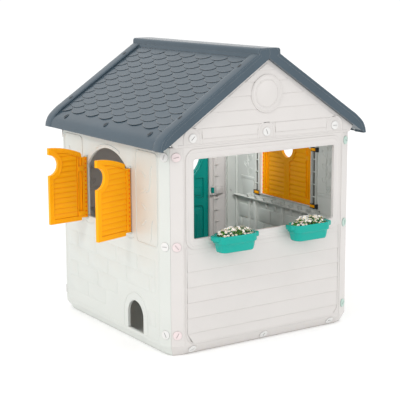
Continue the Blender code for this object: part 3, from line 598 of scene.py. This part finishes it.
def side_wall_inside(side):
    """Frame ribs, pots, ledge with corbels and coursed blocks on a shuttered wall's inner face."""
    relief = Relief()
    half = 0.425
    for sign in (-1, 1):
        plant(relief, sign * 0.318, LEDGE_Z + 0.016, 0.885)
        for x, half_rib, low, high, height, bevel in (
                (0.2455, 0.003, LEDGE_Z, 0.89, 0.012, 0.002),
                (0.2165, 0.002, WINDOW_LOW, 0.83, 0.012, 0.0015),
                (0.42, 0.004, COLUMN_LOW, COLUMN_HIGH, 0.008, 0.002)):
            relief.rib(sign * x, half_rib, low, high, height, bevel)
        for i in range(6):
            z = 0.552 + i * 0.061
            x0, x1 = sorted((sign * 0.217, sign * 0.245))
            relief.block(inside, (x0, z), (x1, z + 0.004), 0.01, 0.0014)
    shelf = [(-half, LEDGE_Z + 0.0035), (half, LEDGE_Z + 0.0035)]
    relief.bead(inside, shelf, 0.004, 0.021)
    for i in range(-4, 5):
        x = 0.015 + i * 0.07
        section = [(LEDGE_Z - 0.034, 0.0), (LEDGE_Z - 0.032, 0.004), (LEDGE_Z - 0.018, 0.008),
                   (LEDGE_Z + 0.002, 0.014), (LEDGE_Z + 0.016, 0.0225), (LEDGE_Z + 0.024, 0.0235),
                   (LEDGE_Z + 0.026, 0.0)]
        relief.loft([[inside(x + end, z, h - (SUNK if h == 0 else 0)) for z, h in section]
                     for end in (-0.0075, 0.0075)])
    columns = (-0.205, 0.02, 0.25)
    for x in columns:
        foot = MOUSE_HIGH + 0.02 if side == "left" and x > 0.1 else 0.05
        relief.rib(x, 0.008, foot, LEDGE_Z - 0.004, 0.013, 0.003)
    holes = [((x - 0.01, 0.0), (x + 0.01, 0.5)) for x in columns]
    if side == "left":
        holes.append(((MOUSE_X - 0.08, 0.0), (MOUSE_X + 0.08, MOUSE_HIGH + 0.014)))
    for left, right in ((-0.402, -0.306), (-0.294, -0.218), (-0.192, 0.007), (0.033, 0.237),
                        (0.263, 0.294), (0.306, 0.402)):
        bricks(relief, inside, 0.06, LEDGE_Z - 0.036, left, right, 5, (0.118, 0.086, 0.1),
               0.0055, holes)
    relief.finish_wall(f"{side}_wall_inside", SIDE_WALL, side)


def hinge_sockets(side):
    """Channels inside beside a shuttered window and the pin sockets at their ends, both dark blocks of
    painted shadow, and the pins in the sockets.
    """
    ends = ((0.498, 0.52), (0.774, 0.796))
    pins = ((0.5025, 0.5155), (0.7785, 0.7915))
    for name, material, near, far, levels, height, bevel in (
            ("window_channels", CHANNEL_SHADOW, 0.219, 0.2425, ((LEDGE_Z + 0.026, 0.83),), 0.0012, 0.0005),
            ("hinge_sockets", POCKET_SHADOW, 0.208, 0.256, ends, 0.0125, 0.0018),
            ("hinge_pins", SHUTTER, 0.21, 0.244, pins, 0.016, 0.0018)):
        relief = Relief()
        for sign in (-1, 1):
            x0, x1 = sorted((sign * near, sign * far))
            for low, high in levels:
                relief.block(inside, (x0, low), (x1, high), height, bevel)
        relief.finish_wall(f"{side}_{name}", material, side)


def rear_wall_inside():
    """Ribbed jamb beside the door, socket plate, corner columns and the ledge's nosing."""
    relief = Relief()
    near = -(DOOR_AXIS - DOOR_HINGE_EDGE)
    for x, half, rise in ((near - 0.024, 0.0025, 0.009), (near - 0.072, 0.0025, 0.01),
                          (0.03, 0.003, 0.009), (0.43, 0.003, 0.009)):
        relief.rib(x, half, COLUMN_LOW, COLUMN_HIGH, rise)
    for i in range(14):
        z = 0.07 + i * 0.061
        if abs(z - 0.487) > 0.03:
            relief.block(inside, (near - 0.072, z), (near - 0.024, z + 0.003), 0.0075, 0.001)
    socket = rounded_rectangle((-0.456, 0.466), (-0.415, 0.504), 0.004, 2)
    relief.plate(inside, socket, 0.02, 0.002)
    for x in (-0.445, -0.433, -0.424):
        relief.bead(inside, circle((x, 0.485), 0.0034, 12), 0.001, 0.0012, True, 0.02)
    bricks(relief, inside, 0.06, LEDGE_Z - 0.01, 0.045, 0.395, 4, COURSE_WIDTHS, 0.004,
           [((0.296, 0.0), (0.304, 0.5))])
    relief.bead(inside, [(0.035, LEDGE_Z + 0.003), (0.425, LEDGE_Z + 0.003)], 0.004, 0.021)
    plant(relief, 0.12, LEDGE_Z + 0.012, 0.88)
    plant(relief, 0.33, LEDGE_Z + 0.012, 0.88)
    relief.finish_wall("rear_wall_inside", WALL, "rear")


def front_wall_inside():
    relief = Relief()
    holes = [((x - 0.004, 0.0), (x + 0.004, 0.5)) for x in (-0.3, 0.3)]
    bricks(relief, inside, 0.06, LEDGE_Z - 0.01, -0.402, 0.402, 4, COURSE_WIDTHS, 0.004,
           holes)
    relief.bead(inside, [(-0.425, LEDGE_Z + 0.003), (0.425, LEDGE_Z + 0.003)], 0.004, 0.021)
    relief.finish_wall("front_wall_inside", WALL, "front")


# ---- Roof
def rim_line(x):
    return ROOF_PEAK_Z - ROOF_SLOPE * x


def roof_point(sign, s, t, h):
    """s runs down the sunk field from its top edge, t along the house, h off the surface."""
    run = 1 / sqrt(1 + ROOF_SLOPE ** 2)
    x = ROOF_FIELD_TOP_X + s * run
    return (sign * (x + h * ROOF_SLOPE * run), t, rim_line(x) - ROOF_FIELD_DROP + h * run)


def roof_tiles(side, sign):
    """Staggered scales on the sunk field of one roof half, each thickest at its rounded end."""
    relief = Relief()
    edge = ROOF_HALF_Y - ROOF_RIM - 0.01
    columns, rows = 7, 14
    width = 2 * edge / columns
    first, pitch = 0.04, 0.0366
    sag = 0.036
    reach = pitch + sag + 0.004
    lip = 0.0042

    def lift(s, tip):
        return 0.0004 + lip * max(0.0, 1 - (tip - s) / reach)

    for row in range(rows):
        tip = first + pitch * row
        stagger = 0.5 if row % 2 else 0.0
        for column in range(columns + (1 if row % 2 else 0)):
            centre = -edge + width * (column + 0.5 - stagger)
            half = width / 2 - 0.0006
            top = max(tip - reach, 0.003)
            round_end = [(centre - half * cos(a), max(tip - sag + sag * sin(a), top + 0.001))
                         for a in np.linspace(0, pi, 21)]
            outline = [(centre + half, top), (centre - half, top)] + round_end
            rings = [(outline, -0.001, False), (outline, -0.0012, True),
                     (offset(outline, 0.0008), -0.0003, True), (offset(outline, 0.0022), 0, True)]
            relief.loft([[roof_point(sign, s, min(max(t, -edge), edge),
                                     rise + (lift(s, tip) if lifted else 0))
                          for t, s in ring] for ring, rise, lifted in rings])
    bmesh.ops.remove_doubles(relief.mesh, verts=relief.mesh.verts, dist=1e-6)
    relief.finish(f"{side}_roof_tiles", ROOF, "house", "roof", smooth=50)


def eave_line(drop):
    """The roof's edge from the slope round to the vertical lip, as a smooth curve."""
    corners = [(0.47, rim_line(0.47) - drop), (0.492, rim_line(0.492) - drop),
               (0.53, 0.9485 - drop * 0.4), (0.5445, 0.922), (ROOF_EAVE_X - 0.001, 0.905),
               (ROOF_EAVE_X, ROOF_EAVE_Z)]
    return smooth_line(corners, 4)


def strip_along_roof(relief, sign, line, section):
    """Sweep a section, of (y, height) points, along a line of (x, z) points."""
    rings = []
    for i, here in enumerate(line):
        before, after = Vector(line[max(i - 1, 0)]), Vector(line[min(i + 1, len(line) - 1)])
        along = (after - before).normalized()
        rings.append([(sign * (here[0] - along.y * h), y, here[1] + along.x * h)
                      for y, h in section])
    relief.loft(rings)


def roof_edges(side, sign):
    """Rounded crowns on the front and rear rims, a smooth eave and the ridge's rounded cover."""
    relief = Relief()
    slope = [(x, rim_line(x)) for x in np.linspace(0.0575, 0.455, 12)]
    line = slope + eave_line(0.0)[1:]
    half = ROOF_RIM / 2
    for end in (-1, 1):
        middle = end * (ROOF_HALF_Y - half)
        crown = [(1.0, -0.003), (0.985, 0.0), (0.93, 0.0016), (0.8, 0.0026), (0.4, 0.0034)]
        crown = [(-a, h) for a, h in crown] + [(0.0, 0.0036)] + crown[::-1]
        section = [(middle + (half - 0.0002) * a, h) for a, h in crown]
        strip_along_roof(relief, sign, line, section)
    edge = ROOF_HALF_Y - ROOF_RIM - 0.0004
    strip_along_roof(relief, sign, eave_line(ROOF_FIELD_DROP),
                     [(-edge, -0.0006), (-edge, 0.0006), (edge, 0.0006), (edge, -0.0006)])
    cover = ([(GAP, ROOF_TOP_Z + 0.0005), (0.03, ROOF_TOP_Z + 0.0002), (0.041, ROOF_TOP_Z - 0.0004)]
             + arc((0.044, 1.2868), 0.0125, 80, 0, 8) + [(0.057, 1.273), (0.0545, 1.2715)]
             + [(0.053, 1.285), (0.048, 1.293), (GAP, ROOF_TOP_Z - 0.002)])
    length = ROOF_HALF_Y - 0.0003
    ends = [(-length, 0.0015), (-length + 0.0015, 0.0), (length - 0.0015, 0.0), (length, 0.0015)]
    relief.loft([[(sign * max(x - shrink, GAP), y, z - shrink) for x, z in cover]
                 for y, shrink in ends])
    relief.finish(f"{side}_roof_edges", ROOF, "house", "roof", smooth=45)


def roof_pockets(side, sign):
    """Screw pockets, two on each rim and three along the eave, each with a raised lip and a dark floor
    of painted shadow.
    """
    lips, floors = Relief(), Relief()
    run = 1 / sqrt(1 + ROOF_SLOPE ** 2)
    rise = ROOF_FIELD_DROP * run
    tear = ([(0.01 * cos(a), 0.009 * sin(a)) for a in np.linspace(-pi / 2, pi / 2, 9)]
            + [(-0.004, 0.0085), (-0.014, 0.004), (-0.017, 0.0), (-0.014, -0.004),
               (-0.004, -0.0085)])
    places = [(s, end * 0.49, rise + 0.0034) for s in (0.075, 0.435) for end in (-1, 1)]
    places += [(0.548, t, 0.0036) for t in (-0.392, -0.01, 0.372)]
    for s, t, base in places:
        def surface(a, b, h, s=s, t=t, base=base):
            return roof_point(sign, s + a, t + b, base + h)
        lips.bead(surface, tear, 0.002, 0.0012, closed=True, base=-0.0006)
        floors.plate(surface, offset(tear, 0.0012), 0.0004, 0.0002, base=-0.001)
    lips.finish(f"{side}_roof_pocket_lips", ROOF, "house", "roof", smooth=50)
    floors.finish(f"{side}_roof_pockets", POCKET_SHADOW, "house", "roof")


# ---- Shutters and door
def angle_of(rise, run):
    return Vector((run, rise)).angle(Vector((1, 0))) * 180 / pi


def shutter_field(far_border, margin=0.0006):
    """Sunk field of a leaf to the right of the window's centre line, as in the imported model."""
    border = SHUTTER_BORDER + margin
    near, far, low = border, SHUTTER_AXIS - far_border, SHUTTER_LOW + border
    radius, notch = SHUTTER_RADIUS - border, SHUTTER_NOTCH + border
    rise = SHUTTER_NOTCH_Z - SHUTTER_CENTRE_Z
    meeting_z = (radius ** 2 - notch ** 2 + rise ** 2) / (2 * rise)
    meeting_x = sqrt(radius ** 2 - meeting_z ** 2)
    top = arc((0, SHUTTER_CENTRE_Z), radius,
              angle_of(sqrt(radius ** 2 - far ** 2), far), angle_of(meeting_z, meeting_x), 12)
    first = angle_of(sqrt(notch ** 2 - meeting_x ** 2), meeting_x)
    last = angle_of(sqrt(notch ** 2 - near ** 2), near)
    notch_arc = arc((0, SHUTTER_NOTCH_Z), notch, first, -last, 14)
    return [(near, low), (far, low)] + top + notch_arc[1:]


def clipped_slats(name, outline, low, high, count, depth, face):
    """Louvre-like slats clipped to an outline, from the field's floor up to just under the face."""
    slats = Relief()
    pitch = (high - low) / count
    for i in range(count):
        z0, z1 = low + i * pitch, low + (i + 1) * pitch
        section = [(z0, 0.0), (z0, depth * 0.72), (z0 + pitch * 0.16, depth),
                   (z0 + pitch * 0.34, depth * 0.97), (z1 - pitch * 0.1, depth * 0.22),
                   (z1 - 0.0001, depth * 0.1), (z1 - 0.0001, 0.0)]
        slats.loft([[(x, face - h, z) for z, h in section] for x in (-0.02, 0.23)])
    cutter = Relief()
    cutter.loft([[(x, y, z) for x, z in outline] for y in (face + 0.01, face - 0.02)])
    return combine(name, slats.bake(name), cutter.bake(name + "_cutter"), "INTERSECT", True)


def shutter_relief():
    """Slats, grooved hinge band and small details of one leaf, in the closed leaf's wall frame.

    The leaf lies to the right of the window's centre line, outer face towards -y.
    """
    outer, inner = -SHUTTER_THICK / 2, SHUTTER_THICK / 2
    parts = []
    low, high = SHUTTER_LOW + SHUTTER_BORDER, 0.822
    field = shutter_field(SHUTTER_BORDER + 0.0006)
    parts.append(clipped_slats("outer_slats", field, low, high, 13, 0.0042,
                               outer + PANEL_DEPTH + 0.0003))
    flipped = clipped_slats("inner_slats", shutter_field(0.052), low, high, 13, 0.0042,
                            -inner + PANEL_DEPTH + 0.0003)
    flipped.transform(Matrix.Scale(-1, 4, (0, 1, 0)))
    flipped.flip_normals()
    parts.append(flipped)

    front, back = face(outer, -1), face(inner, 1)
    sunk_back = face(inner - PANEL_DEPTH, 1)
    trim = Relief()
    for surface in (front, back):
        edge = shutter_field(SHUTTER_BORDER - 0.003, -0.003)
        trim.bead(surface, edge, 0.0022, 0.0011, closed=True)
    for x in (SHUTTER_AXIS - 0.047, SHUTTER_AXIS - 0.0275):
        trim.block(sunk_back, (x - 0.0022, SHUTTER_LOW + 0.0235), (x + 0.0022, 0.8), 0.005, 0.001)
    for z in (0.512, 0.722):
        trim.block(back, (SHUTTER_AXIS - 0.046, z), (SHUTTER_AXIS - 0.012, z + 0.022), 0.0022, 0.0012)
        trim.block(front, (SHUTTER_AXIS - 0.02, z), (SHUTTER_AXIS - 0.01, z + 0.022), 0.0018, 0.001)
    for i in range(5):
        angle = 66 + i * 4.3
        start = arc((0, SHUTTER_CENTRE_Z), SHUTTER_RADIUS - 0.011, angle, angle + 2.2, 4)
        trim.bead(back, start, 0.003, 0.0009)
    for i in range(5):
        x = 0.03 + i * 0.03
        trim.plate(back, circle((x, SHUTTER_LOW + 0.0105), 0.0028, 12), 0.0009, 0.0005)
    for i in range(8):
        z = SHUTTER_LOW + 0.03 + i * 0.026
        trim.plate(back, circle((0.0105, z), 0.0028, 12), 0.0009, 0.0005)
    parts.append(trim.bake("shutter_trim"))
    merged = bmesh.new()
    for part in parts:
        merged.from_mesh(part)
    bmesh.ops.translate(merged, vec=(-SHUTTER_AXIS, 0, 0), verts=merged.verts)
    return merged


def make_shutters():
    pattern = shutter_relief()
    for name, angle in SHUTTER_OPEN.items():
        side = name.split("_")[0]
        sign = 1 if name in ("left_shutter_front", "right_shutter_rear") else -1
        placed = (WALL_FRAMES[side]
                  @ Matrix.Translation((sign * SHUTTER_AXIS, -FACE_OUT - SHUTTER_STAND_OFF, 0))
                  @ Matrix.Rotation(radians(angle), 4, "Z")
                  @ Matrix.Diagonal((sign, 1, 1, 1)))
        data = bpy.data.meshes.new(f"{name}_slats")
        pattern.to_mesh(data)
        data.transform(placed)
        if sign < 0:
            data.flip_normals()
        add_piece(f"{name}_slats", data, SHUTTER, name, 30)
        ribs = Relief()
        count = 14
        for i in range(count):
            z = SHUTTER_STEP_LOW + 0.01 + (SHUTTER_STEP_HIGH - SHUTTER_STEP_LOW - 0.02) * i / (count - 1)
            for end in (-1, 1):
                ribs.block(face(end * SHUTTER_THICK / 2, end), (-0.009, z - 0.004),
                           (-0.0015, z + 0.004), 0.0011, 0.0006)
        # The ribs take the darker copy of the shutter plastic: painted shade.
        ribs.finish(f"{name}_hinge_ribs", SHUTTER_EDGE_SHADE, name, "shutter", placed)
    pattern.free()


def door_relief():
    """Raised fields on both faces of the door. Closed door, rear wall's frame."""
    relief = Relief()
    near = -(DOOR_AXIS - DOOR_HINGE_EDGE)
    far = near + DOOR_WIDTH
    centre = (near + far) / 2
    border = 0.035
    outer_y, inner_y = DOOR_AXIS_Y - DOOR_BACK - DOOR_THICK, DOOR_AXIS_Y - DOOR_BACK

    for y, direction in ((outer_y, -1), (inner_y, 1)):
        surface, floor = face(y, direction), face(y - direction * PANEL_DEPTH, direction)
        panel = rounded_rectangle((near + border + 0.014, DOOR_LOW + border + 0.014),
                                  (far - border - 0.014, 0.396), 0.014)
        relief.plate(floor, panel, 0.0058, 0.003)
        inner = rounded_rectangle((near + border + 0.04, DOOR_LOW + border + 0.04),
                                  (far - border - 0.04, 0.37), 0.01)
        relief.bead(floor, inner, 0.003, 0.0022, True, 0.0058)
        for i in range(1, 5):
            x = near + border + 0.014 + (DOOR_WIDTH - 2 * border - 0.028) * i / 5
            relief.bead(floor, [(x, DOOR_LOW + border + 0.046), (x, 0.364)], 0.0022, 0.0016,
                        base=0.0058)
        ring = circle((centre, DOOR_PORTHOLE_Z), DOOR_PORTHOLE + 0.012, 72)
        relief.bead(surface, ring, 0.006, 0.003, True)
        lower = [(near + border + 0.016, 0.464), (far - border - 0.016, 0.464),
                 (far - border - 0.016, 0.505), (near + border + 0.016, 0.505)]
        relief.plate(floor, lower, 0.0052, 0.0026)
        rim = rounded_rectangle((near + 0.01, DOOR_LOW + 0.01), (far - 0.01, DOOR_HIGH - 0.01),
                                0.052)
        relief.bead(surface, rim, 0.0026, 0.0013, True)
    relief.finish("door_relief", DOOR, "door", "door", WALL_FRAMES["rear"])


# ---- Screws
def screw_mesh():
    """Domed screw head with a coin slot. Its underside is at the origin and it faces +Z."""
    head = Relief()
    profile = [(SCREW_HEAD, 0.0), (SCREW_HEAD, 0.0022), (SCREW_HEAD - 0.0006, 0.0034),
               (SCREW_HEAD - 0.0022, 0.0042), (SCREW_HEAD - 0.004, 0.0043),
               (SCREW_HEAD - 0.0052, 0.0038), (SCREW_HEAD - 0.0062, 0.004),
               (0.008, 0.0047), (0.003, SCREW_HEAD_HEIGHT)]
    stack(head, [(circle((0, 0), radius, 48), z) for radius, z in profile])
    slot = Relief()
    outline = rounded_rectangle((-0.0118, -0.0016), (0.0118, 0.0016), 0.0015, 4)
    stack(slot, [(outline, z) for z in (0.0024, 0.008)])
    return combine("screw", head.bake("screw_head"), slot.bake("screw_slot"), "DIFFERENCE")


def screw_places():
    """Name, wall, seat and outward direction of every screw, in the wall's frame."""
    rise = FACE_OUT * CORNER_SCREW_INSET / FACET_RUN
    lean = Vector((FACE_OUT, -FACET_RUN, 0)).normalized()
    for side, half in WALL_HALVES.items():
        for end, sign in (("left", -1), ("right", 1)):
            for level, z in CORNER_SCREW_LEVELS.items():
                yield (f"corner_screw_{side}_{end}_{level}", side,
                       Vector((sign * (half - CORNER_SCREW_INSET), -rise, z)),
                       Vector((sign * lean.x, lean.y, 0)))
    foot = Vector((0, -FOOT_HEIGHT, -FOOT_TUCK)).normalized()
    foot_y = -FACE_OUT + FOOT_TUCK * (1 - FOOT_SCREW_Z / FOOT_HEIGHT)
    for side in ("front", "rear"):
        for end, x in ROW_SCREWS.items():
            yield f"foot_screw_{side}_{end}", side, Vector((x, foot_y, FOOT_SCREW_Z)), foot
        for end, x in ROW_SCREWS.items():
            yield (f"gable_screw_{side}_{end}", side, Vector((x, -FACE_OUT, GABLE_SCREW_Z)),
                   Vector((0, -1, 0)))


def tint_of(name):
    if name.startswith(("corner_screw_front_left", "corner_screw_rear")):
        return "pink"
    if name.startswith(("corner_screw_left", "corner_screw_right", "gable_screw", "foot_screw")):
        return "white"
    return "green"


def make_screws():
    pattern = screw_mesh()
    pattern.shade_smooth()
    pattern.set_sharp_from_angle(angle=radians(32))
    for index, (name, side, seat, normal) in enumerate(screw_places()):
        turn = Vector((0, 0, 1)).rotation_difference(normal).to_matrix().to_4x4()
        slot = Matrix.Rotation(radians(35 + 67 * index), 4, "Z")
        data = pattern.copy()
        data.transform(WALL_FRAMES[side] @ Matrix.Translation(seat + normal * GAP) @ turn @ slot)
        screw = add_piece(f"{name}_head", data, SCREW_TINTS[tint_of(name)], "house", 32)
        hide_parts(name)


# ---- Window boxes and flowers
def stack(relief, lines):
    """Solid through level outlines, each given with its height."""
    relief.loft([[(x, y, z) for x, y in line] for line, z in lines])


def ring(half_x, half_y, radius, z):
    radius = min(radius, half_x, half_y) - 1e-5
    return rounded_rectangle((-half_x, -half_y), (half_x, half_y), radius, 8), z


def make_window_box(side, sign):
    """Smooth trough with a flared band, end wings, a hook over the sill and a foot."""
    centre_y = -FACE_OUT - BOX_BACK - BOX_HALF_DEPTH
    profile = [(0.079, 0.029, 0.022, BOX_BOTTOM), (0.0845, 0.0345, 0.027, BOX_BOTTOM + 0.0015),
               (0.0865, 0.0363, 0.028, BOX_BOTTOM + 0.0055), (0.09, 0.0385, 0.029, 0.47),
               (0.0925, 0.0398, 0.03, 0.485), (0.095, 0.0412, 0.031, 0.4872),
               (0.0985, 0.044, 0.033, 0.4885), (BOX_HALF, 0.045, 0.034, 0.4915),
               (BOX_HALF, 0.045, 0.034, 0.5165), (0.0995, 0.0445, 0.0335, 0.52),
               (0.0978, 0.043, 0.032, BOX_TOP), (0.0945, 0.0395, 0.03, BOX_TOP),
               (0.0925, 0.0375, 0.029, 0.5195), (0.0905, 0.0355, 0.028, 0.514),
               (0.086, 0.0325, 0.026, 0.48), (0.081, 0.03, 0.024, 0.456),
               (0.076, 0.0255, 0.02, 0.4525)]
    trough = Relief()
    stack(trough, [ring(*row) for row in profile])
    for end in (-1, 1):
        wing = [(0.093, -0.0265), (0.105, -0.0255), (0.1115, -0.021), (0.114, -0.012),
                (BOX_TAB_HALF, 0.0), (0.114, 0.012), (0.1115, 0.021), (0.105, 0.0255),
                (0.093, 0.0265)]
        wing = [(end * x, y) for x, y in wing]
        if end < 0:
            wing.reverse()
        droop = [(offset(wing, 0.0012), 0.5015), (wing, 0.503), (wing, 0.52),
                 (offset(wing, 0.0006), 0.5212), (offset(wing, 0.0016), 0.5216)]
        stack(trough, droop)
    behind = -FACE_OUT + REVEAL + 0.0007 - centre_y
    for low, high in (((-0.04, BOX_HALF_DEPTH - 0.003, SERVING_LOW + GAP),
                       (0.04, behind + 0.003, SERVING_LOW + GAP + 0.003)),
                      ((-0.04, behind, SERVING_LOW - 0.015),
                       (0.04, behind + 0.003, SERVING_LOW + GAP + 0.0028)),
                      ((-0.05, 0.033, BOX_BOTTOM + 0.004),
                       (0.05, BOX_HALF_DEPTH, BOX_BOTTOM + 0.012))):
        outline = [(low[0], low[1]), (high[0], low[1]), (high[0], high[1]), (low[0], high[1])]
        small = offset(outline, 0.0006)
        stack(trough, [(small, low[2]), (outline, low[2] + 0.0006), (outline, high[2] - 0.0006),
                       (small, high[2])])
    placed = WALL_FRAMES["front"] @ Matrix.Translation((sign * BOX_X, centre_y, 0))
    piece = trough.finish(f"{side}_trough", BOX, f"{side}_window_box", "window_box", placed, 50)
    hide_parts(f"{side}_window_box")
    return placed


def make_flowers(side, placed, seed):
    """Soil, dense small leaves and daisies, scattered over a low mound."""
    random = np.random.default_rng(seed)
    soil = Relief()
    stack(soil, [ring(*row) for row in (
        (0.078, 0.0275, 0.02, 0.456), (0.084, 0.031, 0.024, 0.48),
        (0.086, 0.032, 0.025, 0.508), (0.08, 0.028, 0.022, 0.515),
        (0.05, 0.014, 0.012, 0.52))])
    mesh = soil.mesh
    mesh.faces.ensure_lookup_table()

    def mound(u, v):
        """Point and height on the mound for u and v from -1 to 1."""
        reach = min(1.0, sqrt(u * u + v * v))
        return Vector((0.086 * u, 0.034 * v, 0.516 + 0.028 * sqrt(max(0.0, 1 - reach ** 2.4))))

    def add_face(points, slot_index):
        face = mesh.faces.new([mesh.verts.new(p) for p in points])
        face.material_index = slot_index

    def scattered():
        while True:
            u, v = random.uniform(-1, 1, 2)
            if abs(u) ** 3.5 + abs(v) ** 3.5 <= 1.0:
                return u, v

    def turn_towards(u, v, spread):
        up = Vector((u * 0.55 + random.normal(0, spread), v * 0.55 + random.normal(0, spread), 1.0))
        tilt = Vector((0, 0, 1)).rotation_difference(up.normalized()).to_matrix().to_4x4()
        return tilt @ Matrix.Rotation(random.uniform(0, 2 * pi), 4, "Z")

    for _ in range(520):
        u, v = scattered()
        size = random.uniform(0.0065, 0.0115)
        place = Matrix.Translation(mound(u, v) - Vector((0, 0, random.uniform(0, 0.008))))
        place = place @ turn_towards(u, v, 0.75)
        droop = random.uniform(-0.2, 0.4)
        edges = []
        for along, half in ((0.0, 0.08), (0.3, 0.24), (0.65, 0.22), (1.0, 0.02)):
            z = size * (0.35 * along - droop * along ** 2)
            edges.append([place @ Vector((end * half * size, along * size, z)) for end in (-1, 1)])
        for (left, right), (next_left, next_right) in zip(edges, edges[1:]):
            add_face((left, right, next_right, next_left), 1)

    taken = []
    while len(taken) < 125:
        u, v = scattered()
        here = mound(u, v)
        crowded = any((here - other).length < 0.0068 for other in taken)
        if crowded and random.uniform() < 0.985:
            continue
        taken.append(here)
        size = random.uniform(0.0052, 0.007)
        place = Matrix.Translation(here + Vector((0, 0, random.uniform(0.003, 0.008))))
        place = place @ turn_towards(u, v, 0.35)
        tint = 3 if random.uniform() < 0.05 else 2
        for turn in turns(8):
            spin = place @ Matrix.Rotation(turn + random.normal(0, 0.06), 4, "Z")
            lift = random.uniform(0.05, 0.35)
            shape = [(0.0, 0.15), (-0.26, 0.55), (-0.22, 0.92), (0.0, 1.05), (0.22, 0.92),
                     (0.26, 0.55)]
            add_face([spin @ Vector((x * size, y * size, lift * y * size)) for x, y in shape], tint)
        loops = [[mesh.verts.new(place @ Vector((size * r * cos(a), size * r * sin(a), size * z)))
                  for a in turns(8)] for r, z in ((0.34, 0.02), (0.3, 0.2), (0.14, 0.3))]
        for low, high in zip(loops, loops[1:]):
            for i in range(8):
                face = mesh.faces.new((low[i], low[(i + 1) % 8], high[(i + 1) % 8], high[i]))
                face.material_index = 4
        mesh.faces.new(loops[-1]).material_index = 4
        stem_foot = here - Vector((0, 0, 0.014))
        top = place.translation
        for side_step in (Vector((0.0004, 0, 0)), Vector((0, 0.0004, 0))):
            add_face((stem_foot - side_step, stem_foot + side_step, top + side_step,
                      top - side_step), 1)
    bmesh.ops.transform(mesh, matrix=placed, verts=mesh.verts)
    data = soil.bake(f"{side}_daisies", outward=False)
    piece = add_piece(f"{side}_daisies", data, [SOIL, LEAF, DAISY, BLUSH, CENTRE],
                      f"{side}_flowers", 45)
    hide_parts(f"{side}_flowers")


# ---- Stage, light and camera
def make_stage():
    shape = Relief()
    bmesh.ops.create_grid(shape.mesh, x_segments=1, y_segments=1, size=14.0)
    data = shape.bake("stage_floor", outward=False)
    floor = bpy.data.objects.new("stage_floor", data)
    floor.location.z = -0.0005
    add_to_scene(floor)
    paper = Shading("stage_paper")
    for name, value in (("Base Color", (0.93, 0.93, 0.93, 1)), ("Roughness", 0.9),
                        ("Emission Color", (1, 1, 1, 1)), ("Emission Strength", 0.12)):
        paper.shader.inputs[name].default_value = value
    data.materials.append(paper.material)


def soft_light(name, size, power, place):
    data = bpy.data.lights.new(name, "AREA")
    data.shape = "DISK"
    data.size = size
    place_light(data, power, place, (0, 0, 0.6))


def soft_spot(name, power, cone, place, target):
    data = bpy.data.lights.new(name, "SPOT")
    data.spot_size = radians(cone)
    data.spot_blend = 0.8
    data.shadow_soft_size = 0.08
    place_light(data, power, place, target)


def place_light(data, power, place, target):
    data.energy = power
    lamp = bpy.data.objects.new(data.name, data)
    lamp.location = place
    lamp.visible_camera = False
    aim = Vector(target) - Vector(place)
    lamp.rotation_euler = aim.to_track_quat("-Z", "Y").to_euler()
    add_to_scene(lamp)


def light_scene():
    world = bpy.data.worlds.new("studio")
    world.use_nodes = True
    background = world.node_tree.nodes["Background"]
    background.inputs["Color"].default_value = (1, 1, 1, 1)
    background.inputs["Strength"].default_value = 1.05
    bpy.context.scene.world = world
    bpy.context.scene.view_settings.view_transform = "Standard"
    soft_light("key", 1.1, 46, (-4.0, -1.7, 3.3))
    soft_light("fill", 1.6, 15, (2.4, -4.4, 2.0))
    soft_spot("room", 6.5, 85, (-0.1, -0.3, 1.02), (0.48, -0.2, 0.45))
    soft_spot("room_rear", 20.0, 52, (0.12, -0.1, 1.05), (0.45, 0.46, 0.52))


def make_camera():
    """The photograph's view: yaw to the right, pitch down and a hint of roll."""
    yaw, pitch, roll = radians(33.33), radians(10.93), radians(-0.23)
    forward = Vector((sin(yaw) * cos(pitch), cos(yaw) * cos(pitch), -sin(pitch)))
    level = Vector((cos(yaw), -sin(yaw), 0))
    above = level.cross(forward)
    right = cos(roll) * level + sin(roll) * above
    up = cos(roll) * above - sin(roll) * level
    pose = Matrix((right, up, -forward)).transposed().to_4x4()
    pose.translation = Vector((-3.0092, -4.5599, 1.6112))
    data = bpy.data.cameras.new("camera")
    data.sensor_width = 36.0
    data.lens = 105.5
    data.clip_end = 100.0
    camera = bpy.data.objects.new("camera", data)
    camera.matrix_world = pose
    add_to_scene(camera)
    bpy.context.scene.camera = camera


# ---- Assembly
NODE_MATERIALS = {"floor": FLOOR, "roof": ROOF, "door": DOOR, "shutter": SHUTTER,
                  "left_wall": SIDE_WALL, "right_wall": SIDE_WALL}
for name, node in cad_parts.items():
    found = [material for word, material in NODE_MATERIALS.items() if word in name]
    node.data.materials.clear()
    node.data.materials.append(found[0] if found else WALL)

make_camera()
front_wall_relief()
rear_wall_relief()
for side in ("front", "rear"):
    gable_relief(side)
for side in ("left", "right"):
    side_wall_relief(side)
    side_wall_inside(side)
    hinge_sockets(side)
rear_wall_inside()
front_wall_inside()
for side, sign in (("left", -1), ("right", 1)):
    roof_tiles(side, sign)
    roof_edges(side, sign)
    roof_pockets(side, sign)
make_shutters()
door_relief()
make_screws()
for side, sign, seed in (("left", -1, 11), ("right", 1, 23)):
    make_flowers(side, make_window_box(side, sign), seed)
make_stage()
light_scene()
